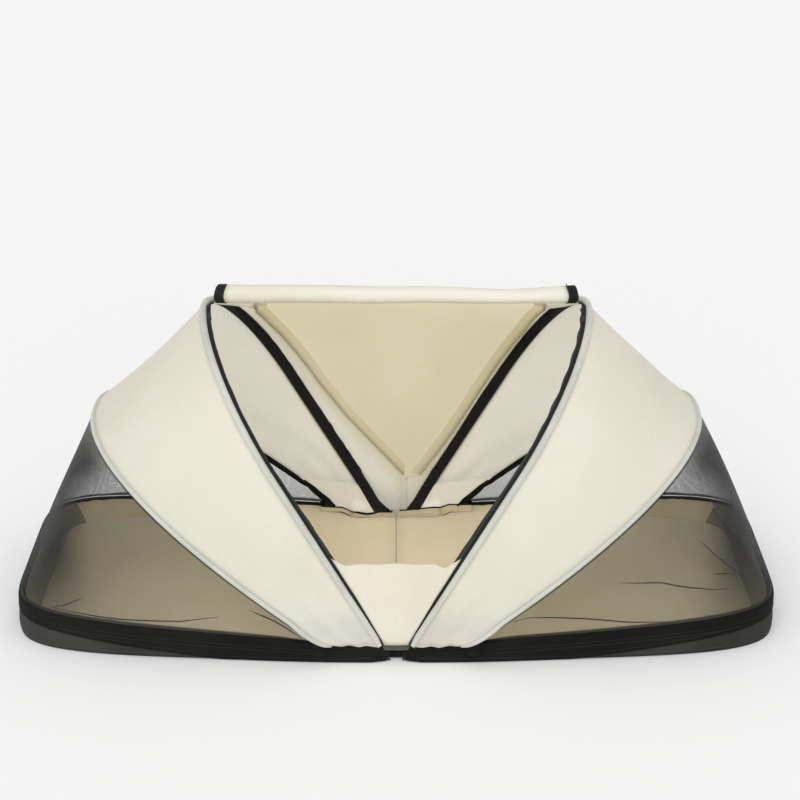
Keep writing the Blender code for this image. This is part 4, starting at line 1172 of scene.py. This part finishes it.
for side, word in SIDES:
    def place(t, v):
        i = LINING[round(t * LINING_ROWS)]
        edge, opening = rear_edge(i) + 0.001, lining_opening(i, side)
        x = edge + (opening - edge) * v
        deep = 0.0010 + 0.0085 * v
        spot = Vector((x * 9, rear_rows[i].y * 7, rear_rows[i].z * 7))
        if t < 0.98:
            slack = noise.noise(spot + Vector((side * 4, 0, 0)))
            deep += 0.0030 * slack * math.sin(math.pi * min(v, 0.8))
        point = Vector((side * x, rear_rows[i].y, rear_rows[i].z)) + inner_way(i) * deep
        point.y += (wall_over_hub(point.z) - point.y) * ease((0.105 - point.z) / 0.028)
        point.z += over_ridge(point.y)
        return point

    def follow(t, v):
        i = LINING[round(t * LINING_ROWS)]
        edge, opening = rear_edge(i), lining_opening(i, side)
        x, joint = edge + (opening - edge) * v, max(side * TIP_X, 0.0)
        return HOOP_SHARE * max(x - joint, 0.0) / (edge - joint)

    lining = sheet_of_cloth("lining_half_" + word, LINING_ROWS, 20, place, sewn=("bottom",), follow=follow)
    dress(lining, lining_pale, stands_for=["rear_door_lining"])
    bend_door(lining, side, word)
    rows = [k for k, i in enumerate(LINING) if lining_opening(i, side) > side * TIP_X + 0.0005]

    def row_at(t):
        return rows[round(t * (len(rows) - 1))]

    def follow_edge(t, v):
        return follow(row_at(t) / LINING_ROWS, 1.0)

    edge_line = [place(k / LINING_ROWS, 1.0) for k in rows]
    bound = tube_of_cloth("lining_binding_" + word, edge_line, 0.0015, 8, follow=follow_edge)
    dress(bound, binding_olive)
    bend_door(bound, side, word)

    # the facing strip, painted darker towards the V's edge as the lining's shadow
    def behind(t, v):
        i = LINING[row_at(t)]
        x = max(lining_opening(i, side) + 0.003 - 0.020 * v, side * TIP_X)
        spot = Vector((side * x, rear_rows[i].y, rear_rows[i].z)) + inner_way(i) * (0.0064 - 0.0040 * v)
        spot.z += over_ridge(spot.y)
        return spot

    shadow_facing = sheet_of_cloth("lining_facing_" + word, len(rows) - 1, 10, behind, sewn=("top",),
                            follow=follow_edge)
    dress(shadow_facing, facing_olive)
    bend_door(shadow_facing, side, word)

# %% [markdown]
# ## Covers over the hinges
# Inside the tent nobody sees the hub plates and rivets. At the front and at the rear a strip of
# lining hangs before them, with a black line at its foot and the tan side of the tray below that.
# At the rear each zip tape ends on it, and at both ends the low hoops' bindings run down it.

# %% Shape of the covers
COVER_Y = 0.2476
LOOK_DOWN = 0.3427
# the black line at the foot of a cover, as height at a distance from the middle
LINE_LEFT = ((0.0, 0.020, 0.050, 0.070, 0.098, 0.130), (0.0330, 0.0320, 0.0275, 0.0305, 0.0280, 0.0300))
LINE_RIGHT = ((0.0, 0.020, 0.050, 0.070, 0.098, 0.130), (0.0330, 0.0345, 0.0376, 0.0390, 0.0332, 0.0335))


def mattress_side(x):
    # half the width of the mattress, which is narrow beside the hubs
    half = rim_y(x * 0.985, 0.0160)
    return half + (0.2345 - half) * (1 - ease((x - 0.072) / 0.026))


def hoop_x(z):
    return PIN_X + (z - PIN_Z) / math.tan(UPPER_ANGLE)


def cover_end(z):
    # out to the middle of the low hoop's binding
    return 0.1066 + max(z - 0.031, 0.0) * 1.325


def foot_z(side, x):
    # height of the black line at the foot of a cover
    return float(np.interp(x, *(LINE_RIGHT if side > 0 else LINE_LEFT)))


def on_cover(side, end, x, z, lift=0.0):
    # how deep the cloth of the real covers lies here: from the side of the mattress up to the
    # piping of the tall hoop, and beyond the piping out to the shell
    shell = shells["left" if side < 0 else "right"]
    found, spot, way, index = shell.ray_cast(Vector((side * x, 0, z)), Vector((0, end, 0)))
    far = abs(spot.y) - 0.0012 if found else SHELL_Y
    if x > 0.090:
        far = min(far, SHELL_Y + 0.6 * max(z - 0.043, 0.0) + 0.3 * max(0.100 - x, 0.0))
    high = PIPING_Y + (far - PIPING_Y) * ease((x - hoop_x(z) - 0.002) / 0.016)
    low = min(mattress_side(x) + 0.0045, high)
    deep = low + (high - low) * ease((z - COVER_BEND) / (COVER_TOP - COVER_BEND))
    # here it goes no deeper than COVER_Y, because the rod of the tall hoop passes behind it when
    # the tent folds, and rises instead, by as much as keeps its outline for an eye that looks
    # down at LOOK_DOWN
    flat = min(deep, COVER_Y)
    return Vector((side * x, end * (flat - lift), z + (deep - flat) * math.tan(LOOK_DOWN)))


def cover_share(side):
    def share(co):
        x, z = side * co.x, co.z
        if x < hoop_x(z):
            high = HOOP_SHARE * x / hoop_x(z)
        else:
            angle = math.atan2(max(z - PIN_Z, 0.0), x - PIN_X + 1e-6)
            high = 1 - (1 - HOOP_SHARE) * min(angle / UPPER_ANGLE, 1.0)
        low = ease((x - 0.008) / 0.045)
        return low + (high - low) * ease((z - 0.032) / 0.040)
    return share


def zip_end(side):
    # the last stretch of a rear zip tape, which narrows to a point at the black line
    top, bottom = 0.1070, foot_z(side, 0.03) - 0.0010
    wide, toe = 0.0188, 0.0170 if side > 0 else 0.0065

    def place(t, v):
        z = top + (bottom - top) * t
        outer = hoop_x(z) + 0.0020
        inner = hoop_x(z) - wide + (toe - hoop_x(bottom) + wide) * ease((t - 0.62) / 0.38) ** 1.5
        lift = 0.0012 - 0.0026 * ease((z - 0.090) / 0.017)
        spot = on_cover(side, 1, hoop_x(z), z, lift)
        spot.x = side * (outer + (inner - outer) * v)
        return spot
    return place


def over_hub(name, side, word, along, across, place, finish, end_word):
    piece = sheet_of_cloth(name, along, across, place)
    dress(piece, finish)
    bend(piece, (side * 0.06, 0, 0.03), cover_share(side))


print("covers lie flat at", COVER_Y)

# %% Covers over the hubs
bpy.context.view_layer.update()
for side, word in SIDES:
    for end, label in ENDS:
        def cover(t, v):
            z = COVER_LOW + (COVER_TOP - COVER_LOW) * (1 - v)
            start = hoop_x(z) - 0.012 if end > 0 else 0.0
            return on_cover(side, end, start + (cover_end(z) - start) * t, z)

        over_hub(label + "_hub_cover_" + word, side, word, 60, 20, cover, cover_cream,
                 label)

        def skirt(t, v):
            x = 0.0030 + 0.1290 * t
            return on_cover(side, end, x, foot_z(side, x) + (0.0200 - foot_z(side, x)) * v, 0.0006)

        over_hub(label + "_tray_side_" + word, side, word, 60, 8, skirt, tray_tan,
                 label)

        def foot(t, v):
            x = 0.0055 + 0.1265 * t
            wide = 0.0012 + 0.0016 * ease((x - 0.030) / 0.012) * (1 - ease((x - 0.060) / 0.020)) * (side < 0)
            return on_cover(side, end, x, foot_z(side, x) + 0.0012 - (0.0012 + wide) * v, 0.0011)

        over_hub(label + "_cover_foot_" + word, side, word, 60, 2, foot, hem_black, label)

        def foot_of_hoop(t, v):
            # the low hoop's binding runs on down to the floor, over the clip
            z = 0.0720 + (0.0310 - 0.0720) * t
            middle = on_cover(side, end, cover_end(z), z, 0.0016)
            taper = (0.45 + 0.55 * ease(t / 0.3)) * (1 - 0.7 * ease((t - 0.7) / 0.3))
            across = BINDING_HALF * (2 * v - 1) * taper
            return middle + Vector((side * -0.60 * across, 0, 0.80 * across))

        over_hub(label + "_binding_end_" + word, side, word, 20, 6, foot_of_hoop, hem_black,
                 label)

    over_hub("rear_zip_end_" + word, side, word, 40, 8, zip_end(side), tape_black,
             "rear")

# %% [markdown]
# ## The fixed cloth below the front door
# It spans the two zips up to 15 cm and has a seam down its middle. Like the rear door it is two
# halves. Its top edge hangs a little between the zips and stands slightly proud.

# %% Lower panel
FRONT = spaced([p for p in upper_line(1) if p.y < -0.2][:60], 200)
FRONT_Z = [p.z for p in FRONT]
PANEL_ROWS, PANEL_COLUMNS, PANEL_FOOT = 44, 24, 0.0225


def front_at(z):
    return [float(np.interp(z, FRONT_Z, [p[k] for p in FRONT])) for k in range(2)]


for side, word in SIDES:
    def place(t, v):
        top = PANEL_TOP + (0.0100 if side < 0 else 0.0105) * ease((v - 0.80) / 0.20)
        top -= 0.0040 * math.exp(-((v - 0.78) / 0.13) ** 2) * (1.6 if side > 0 else 0.7)
        z = PANEL_FOOT + (top - PANEL_FOOT) * t
        x, y = front_at(z)
        run = (z - 0.024) / math.sin(UPPER_ANGLE)
        edge = x - beside_piping(run) - 0.0030
        ripple = 0.0022 * math.cos(3 * math.pi * v) * t * t * (1 - v * v)
        bulge = 0.0020 * (1 - v * v) * math.sin(math.pi * t)
        seam = 0.0007 * math.exp(-(v * edge / 0.003) ** 2)
        return Vector((side * v * edge, y + ripple - bulge + seam, z))

    panel = sheet_of_cloth("lower_panel_" + word, PANEL_ROWS, PANEL_COLUMNS, place, sewn=("bottom",),
                           follow=lambda t, v: HOOP_SHARE * v)
    dress(panel, panel_cream, stands_for=["front_lower_panel"])
    bend_door(panel, side, word, 0.1, 0.1)

# %% [markdown]
# ## The rolled front door
# The door comes up from the ridge behind the roll and is wound inwards, about eight turns. Its
# zip tapes stick out as wound black ends. A flat grid wound into a spiral gives real layers at
# the ends. It can't follow the fold, so it rides with the spine.

# %% Rolled door
ROLL_Y, ROLL_UP, ROLL_OUT, ROLL_IN = -0.0125, 0.0243, 0.0152, 0.0035
ROLL_Z = RIDGE_Z + ROLL_UP
ROLL_HALF, TAPE_END, ROLL_RAISED, ROLL_CURVE = 0.2710, 0.2865, 0.0012, 0.0042
TURNS = 8.5
# where the cloth that comes from the ridge meets the roll
START = math.atan2(-ROLL_UP, -ROLL_Y) + math.acos(ROLL_OUT / math.hypot(ROLL_Y, ROLL_UP))


def wound(v, lift=0.0):
    # v runs from the ridge into the heart of the roll
    lead = 0.06
    if v < lead:
        a = Vector((0, 0.0, RIDGE_Z + 0.0072))
        b = Vector((0, ROLL_Y + ROLL_OUT * math.cos(START), ROLL_Z + ROLL_OUT * math.sin(START)))
        return a.lerp(b, v / lead)
    share = (v - lead) / (1 - lead)
    turn = START + 2 * math.pi * TURNS * share
    radius = ROLL_OUT + lift - (ROLL_OUT - ROLL_IN) * share
    return Vector((0, ROLL_Y + radius * math.cos(turn), ROLL_Z + radius * math.sin(turn)))


# how far the roll is pressed flat, from left to right
PRESSED = ((-TAPE_END, -0.272, -0.10, 0.006, 0.085, 0.132, 0.180, 0.219, 0.250, TAPE_END),
           (0.0, 0.0, 0.04, 0.11, 0.14, 0.20, 0.26, 0.20, 0.10, 0.06))


def roll_piece(name, a, b, steps, finish, lift=0.0):
    def place(t, v):
        x = a + (b - a) * t
        point = wound(v, lift)
        slack = 0.0011 * noise.noise(Vector((x * 11, 0, 0)))
        slack += 0.0005 * noise.noise(Vector((x * 40, v * 5, 1)))
        point.z += slack * ease(v / 0.08)
        bottom = ROLL_Z - ROLL_OUT
        flat = 1 - float(np.interp(x, *PRESSED)) * ease(v / 0.06)
        point.z = bottom + (point.z - bottom) * flat + ROLL_RAISED
        point.y += 0.0008 * noise.noise(Vector((x * 7, 5, 0))) * ease(v / 0.08)
        # the ends are drawn in a little at the top and the bottom
        height = (point.z - ROLL_Z) / ROLL_OUT
        near_end = max(abs(x) / ROLL_HALF - 0.92, 0.0) / 0.08
        point.x = x - math.copysign(ROLL_CURVE * height * height * near_end, x)
        return point
    piece = sheet_of_cloth(name, steps, 240, place, sewn=("ends",))
    dress(piece, finish, "spine", thick=0.0006)
    return piece


roll = roll_piece("rolled_front_door", -ROLL_HALF, ROLL_HALF, 90, roll_cream)
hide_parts("rolled_door")
rolls = [roll]
for side, word in SIDES:
    tape = roll_piece("rolled_tape_" + word, side * ROLL_HALF, side * TAPE_END, 8, tape_black,
                      0.0004)
    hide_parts("door_zip_tape_" + word)
    rolls.append(tape)
    edge = [wound(v / 400, 0.0009) for v in range(26, 400)]
    for spot in edge:
        spot.x = side * (ROLL_HALF + 0.0004 - ROLL_CURVE * ((spot.z - ROLL_Z) / ROLL_OUT) ** 2)
        spot.z += ROLL_RAISED
    cord = tube_of_cloth("roll_edge_cord_" + word, edge, 0.0006, 6)
    dress(cord, coil_black, "spine")
    rolls.append(cord)
for piece in rolls:
    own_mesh(piece)
print("roll", [p.name for p in rolls])

# %% [markdown]
# ## The base: floor, wall and hem
# Each half of the base is a tray. A dark floor cloth carries a wall that is tallest at the end,
# and the rim is bound with a black sleeve that holds the base rod. The sleeve is one strip,
# folded over the rod and stitched in rows, so it shows low ridges.

# %% Floor cloth
def foot_flare(x):
    # how far the foot of the wall and the edge of the floor stand off, along the long sides
    return 0.0060 * ease((x - 0.012) / 0.03) * ease((0.30 - x) / 0.2)


for side, word in SIDES:
    def place(t, v):
        # the rows lie closer beside the fold, where the cloth bends
        x = abs(rim_point(side, math.pi * t, 0).x)
        edge = rim_point(side, math.pi * t, 0.0055 + foot_flare(x))
        x = abs(edge.x) * v * v
        return Vector((side * x, edge.y, 0.0012 + 0.0004 * noise.noise(Vector((x * 9, edge.y * 9, 0)))))

    base_cloth = sheet_of_cloth("floor_cloth_" + word, 90, 40, place, sewn=("bottom",))
    dress(base_cloth, wall_grey, stands_for=["base_floor_" + word, "floor_fold_strip"])
    bend_floor(base_cloth, side, word)

# %% Wall cloth
WALL_STEPS, WALL_LENGTH = 220, 1.63
for side, word in SIDES:
    ring = spaced(rim_ring(side, 0.0090), WALL_STEPS + 1)

    def place(t, v):
        i = round(t * WALL_STEPS)
        top = hem_low_z(ring[i].x) + 0.004
        z = top + (0.0012 - top) * v
        room = min(top / 0.045, 1.0)
        bulge = 0.0030 * math.sin(math.pi * v) + 0.0015 * v
        bulge += v * foot_flare(abs(ring[i].x))
        slack = 0.0030 * noise.noise(Vector((t * 34, v * 1.6, side))) * math.sin(math.pi * v)
        return Vector((ring[i].x, ring[i].y, z)) + outward(ring, i) * (0.0012 + bulge + slack * room)

    wall = sheet_of_cloth("wall_cloth_" + word, WALL_STEPS, 10, place)
    dress(wall, wall_grey, "base_" + word, ["base_wall_" + word], thick=CLOTH_THICK)

# %% Hem sleeve
HEM_STEPS, HEM_AROUND = 260, 30
HEM_SIDE, HEM_ROUND, HEM_RIDGE = 0.0155, 0.0050, 0.0052


def hem_section(v):
    # from the outer bottom edge, over the rod, to the inner bottom edge: (outward, up)
    run = v * (HEM_SIDE * 2 + math.pi * HEM_ROUND)
    if run < HEM_SIDE:
        ridge = 0.0009 * abs(math.sin(math.pi * run / HEM_RIDGE)) - 0.0006
        return HEM_ROUND + ridge, run
    if run < HEM_SIDE + math.pi * HEM_ROUND:
        turn = (run - HEM_SIDE) / HEM_ROUND
        return HEM_ROUND * math.cos(turn), HEM_SIDE + 0.0048 * math.sin(turn)
    return -HEM_ROUND, max(2 * HEM_SIDE + math.pi * HEM_ROUND - run, 0.0)


for side, word in SIDES:
    ring = spaced(rim_ring(side, 0.0065), HEM_STEPS + 1)
    length = length_of(ring)

    def place(t, v):
        i = round(t * HEM_STEPS)
        out, up = hem_section(v)
        near = min(i, HEM_STEPS - i) * length / HEM_STEPS
        # the sleeve is closed and round at its ends, and swells over the clips of the low hoops
        close = math.sqrt(max(1 - (1 - min(near / 0.009, 1.0)) ** 2, 0.0))
        lump = math.exp(-((abs(ring[i].x) - LOWER_X) / 0.011) ** 4) if abs(ring[i].y) > 0.2 else 0.0
        out = out * close + (0.0115 * lump if out > 0 else -0.001 * lump)
        up = 0.010 + (up - 0.010) * close + lump * 0.011 * ease(up / 0.02)
        up += 0.0006 * noise.noise(Vector((t * 60, v * 3, side)))
        return ring[i] + outward(ring, i) * out + Vector((0, 0, hem_low_z(ring[i].x) + up))

    hem = sheet_of_cloth("hem_sleeve_" + word, HEM_STEPS, HEM_AROUND, place)
    dress(hem, hem_black, "base_" + word, ["base_hem_" + word])

# %% [markdown]
# ## Second layer below the hem
# Black cloth comes out from under the hem and covers the upper part of the wall. It reaches the
# floor near the fold and is narrow at the end.

# %% Second layer below the hem
for side, word in SIDES:
    ring = spaced(rim_ring(side, 0.0085), WALL_STEPS + 1)

    def place(t, v):
        i = round(t * WALL_STEPS)
        x = abs(ring[i].x)
        top, low = hem_low_z(x) + 0.0060, max(0.0425 * (x - 0.24) / 0.36 - 0.002, 0.0016)
        z = top + (low - top) * v
        wall_v = min(max((hem_low_z(x) + 0.004 - z) / (hem_low_z(x) + 0.0028), 0.0), 1.0)
        out = 0.0036 + 0.0030 * math.sin(math.pi * wall_v) + 0.0025 * wall_v + wall_v * foot_flare(x)
        out += 0.0010 * math.sin(math.pi * v)
        near = min(i, WALL_STEPS - i) / WALL_STEPS * WALL_LENGTH
        out *= math.sqrt(min(near / 0.008, 1.0))
        return Vector((ring[i].x, ring[i].y, z)) + outward(ring, i) * out

    skirt = sheet_of_cloth("hem_skirt_" + word, WALL_STEPS, 8, place)
    dress(skirt, hem_black, "base_" + word)

# %% [markdown]
# ## The mattress
# Two padded halves lie in the trays and meet at the fold. A pad is a closed form that has been
# filled: flat underneath, slightly crowned, with rounded sides. Its shape starts as a flat
# outline that is given thickness, and a cloth simulation with a little pressure fills it out.

# %% Mattress halves
PAD_LOW, PAD_THICK = 0.0024, 0.0205
# the outline starts a little beyond the fold, because the pad's sides are rounded
PAD_OVER, PAD_END = 0.0022, 0.5780


def pad_outline(side, u, w):
    # u runs from the fold to the end, w from front to rear
    x = -PAD_OVER + (PAD_END + PAD_OVER) * u
    return side * x, (mattress_side(x) + 0.0026) * w


def pad_form():
    bm = bmesh.new()
    bmesh.ops.create_grid(bm, x_segments=60, y_segments=60, size=0.5)
    for vert in bm.verts:
        u, w = vert.co.x + 0.5, vert.co.y * 2
        u = 1 - (1 - u) ** 1.5 if u > 0.0 else 0.0
        w = math.copysign(1 - (1 - abs(w)) ** 1.3, w) if w else 0.0
        x, y = pad_outline(1, u, w)
        vert.co = (x, y, PAD_LOW)
    made = bmesh.ops.extrude_face_region(bm, geom=bm.faces[:])
    up = [g for g in made["geom"] if isinstance(g, bmesh.types.BMVert)]
    bmesh.ops.translate(bm, verts=up, vec=(0, 0, PAD_THICK))
    bmesh.ops.recalc_face_normals(bm, faces=bm.faces)
    return bm


def settle(piece):
    # the modifiers' result becomes the mesh
    graph = bpy.context.evaluated_depsgraph_get()
    made = bpy.data.meshes.new_from_object(piece.evaluated_get(graph))
    piece.modifiers.clear()
    piece.data = made
    return piece


def fill_pad(pad, cap):
    fine = pad.modifiers.new("fine", "REMESH")
    fine.mode = "VOXEL"
    fine.voxel_size = 0.006
    settle(pad)
    rest = np.array([v.co for v in pad.data.vertices], float)
    cloth = pad.modifiers.new("filling", "CLOTH")
    cloth.settings.quality = 4
    cloth.settings.use_pressure = True
    cloth.settings.uniform_pressure_force = 4.0
    cloth.settings.effector_weights.gravity = 0.0
    for number in range(1, 21):
        scene.frame_set(number)
    settle(pad)
    scene.frame_set(1)
    moved = np.array([v.co for v in pad.data.vertices], float) - rest
    far = np.linalg.norm(moved, axis=1)
    moved *= (np.minimum(far, cap) / np.maximum(far, 1e-9))[:, None]
    moved[:, :2] *= 0.2
    filled = rest + moved
    filled[:, 2] = np.maximum(filled[:, 2], PAD_LOW)
    filled[:, 0] = np.maximum(filled[:, 0], 0.0004)
    pad.data.vertices.foreach_set("co", filled.ravel())
    smoother = pad.modifiers.new("smoother", "SUBSURF")
    smoother.levels = smoother.render_levels = 1
    settle(pad)
    return pad


# %% [markdown]
# Both halves come from one filled pad, mirrored for the left. Each gets its own slow unevenness,
# and a welt runs along its upper edge.

# %% Fill them and add their welts
filled = fill_pad(as_piece("filled_pad", pad_form()), 0.006)
print("pad", len(filled.data.vertices), "points, top at", round(max(v.co.z for v in filled.data.vertices), 4))
# the two halves are held edge to edge, so the edge at the fold stands nearly square
bpy.context.view_layer.update()
row_y = np.linspace(-0.225, 0.225, 46)
row_z = [filled.ray_cast(Vector((0.018, y, 0.2)), Vector((0, 0, -1)))[1].z for y in row_y]
for vert in filled.data.vertices:
    if vert.co.x < 0.016 and vert.co.z > PAD_LOW + 0.55 * PAD_THICK:
        pull = ease((0.016 - vert.co.x) / 0.010) * ease((0.232 - abs(vert.co.y)) / 0.02)
        vert.co.z += (float(np.interp(vert.co.y, row_y, row_z)) - 0.0006 - vert.co.z) * pull
for side, word in SIDES:
    bm = bmesh.new()
    bm.from_mesh(filled.data)
    if side < 0:
        bmesh.ops.scale(bm, verts=bm.verts, vec=(-1, 1, 1))
        bmesh.ops.reverse_faces(bm, faces=bm.faces)
    for vert in bm.verts:
        top = ease((vert.co.z - PAD_LOW) / PAD_THICK)
        slow = noise.noise(Vector((vert.co.x * 7, vert.co.y * 7, side * 3))) * 0.0016
        slow += noise.noise(Vector((vert.co.x * 22, vert.co.y * 22, side))) * 0.0005
        vert.co.z += slow * top
    # painted shade along the fold: the distance from the fold stands as the seam gap, so the tan darkens
    # within about 2 cm of it
    gap_of = bm.verts.layers.float.new("seam_gap")
    for vert in bm.verts:
        vert[gap_of] = abs(vert.co.x) * 0.55
    pad = as_piece("mattress_pad_" + word, bm)
    dress(pad, mattress_tan, stands_for=["mattress_" + word])
    # shares for its inner end, worked out as for the floor cloth below it
    bend_floor(pad, side, word)
    line = [pad_outline(side, u / 60, -1.0) for u in range(61)]
    line += [pad_outline(side, 1.0, w / 40 - 1) for w in range(1, 80)]
    line += [pad_outline(side, 1 - u / 60, 1.0) for u in range(61)]
    welt_line = []
    for point in spaced([Vector((x, y, 0)) for x, y in line], 261):
        past_end = 0.01 * side if abs(point.x) > 0.5 else 0.0
        outside = Vector((point.x + past_end, point.y * 1.03, PAD_LOW + PAD_THICK))
        found, spot, way, index = pad.closest_point_on_mesh(outside)
        welt_line.append(spot)
    welt = tube_of_cloth("mattress_welt_" + word, welt_line, 0.0016, 8)
    dress(welt, welt_tan)
    bend_floor(welt, side, word)
    print(pad.name, len(pad.data.polygons), "faces")
bpy.data.objects.remove(filled)

# %% [markdown]
# ## Lining of the tray
# Inside the wall a lining slopes down from the hem to the edge of the mattress. It is tan along
# the sides and darker at the end, where the net shades it.

# %% Lining of the tray
TRAY_START, TRAY_END = 0.129, 0.560


def tray_sheet(name, side, word, ring, reach, height, finish):
    # from the hem's inner side down to the edge of the mattress
    def place(t, v):
        rim = ring[round(t * (len(ring) - 1))]
        centre = Vector((side * min(abs(rim.x), 0.30), 0, 0))
        high = rim + (centre - rim).normalized() * 0.0068
        high.z = hem_low_z(rim.x) + 0.0165
        low = rim + (centre - rim).normalized() * reach
        low.z = height
        point = high.lerp(low, v)
        point.z += 0.0020 * math.sin(math.pi * v) + 0.0012 * noise.noise(Vector((t * 30, v * 2, side)))
        return point

    tray = sheet_of_cloth(name, len(ring) - 1, 10, place, sewn=("top",))
    dress(tray, finish, "base_" + word)


for side, word in SIDES:
    ring = rim_ring(side, TRAY_START)
    for end, label in ENDS:
        line = spaced([p for p in ring if p.y * end > 0 and abs(p.x) < TRAY_END], 81)
        tray_sheet("tray_lining_" + label + "_" + word, side, word, line, 0.0360, 0.0190, tray_tan)
    line = spaced([p for p in ring if abs(p.x) > TRAY_END - 0.004], 101)
    tray_sheet("tray_end_" + word, side, word, line, 0.0300, 0.0258, tray_shade)

# %% [markdown]
# ## The fold of the base
# At the front and at the rear, where the two hems meet, a short grey band with a thin pale piping
# along its top closes the gap. It stays with the spine.

# %% Notch bands
BAND_HALF, BAND_LOW, BAND_TOP, BAND_BOW = 0.0190, 0.0190, 0.0285, 0.0012
for end, label in ENDS:
    def place(t, v):
        x = BAND_HALF * (2 * t - 1)
        y = end * (0.2885 - BAND_BOW * (2 * t - 1) ** 2 - 0.0008 * math.sin(math.pi * v))
        return Vector((x, y, BAND_TOP + (BAND_LOW - BAND_TOP) * v))

    band = sheet_of_cloth(label + "_notch_band", 24, 6, place)
    dress(band, band_grey, "spine", thick=CLOTH_THICK)
    line = []
    for k in range(41):
        share = k / 20 - 1
        line.append(Vector((BAND_HALF * share, end * (0.2888 - BAND_BOW * share ** 2), 0.0290)))
    cord = tube_of_cloth(label + "_notch_cord", line, 0.0012, 8)
    dress(cord, binding_olive, "spine")
    print(band.name, cord.name)

# %% [markdown]
# ## The frame's own pieces
# Rods, hub plates, rivets, clips and sliders keep their CAD shape. Each gets the finish of its
# kind in its material slots.

# %% Finishes on the frame
shown = 0
for name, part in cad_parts.items():
    if part.hide_render:
        continue
    for slot in part.material_slots:
        kind = slot.material.name.split(".")[0]
        slot.link = "OBJECT"
        slot.material = HARD[kind]
    shown += 1
print("CAD nodes shown", shown)

# %% Sizes and the end
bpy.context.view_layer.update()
print("CAD box", [[round(c, 4) for c in corner] for corner in CAD_BOX])
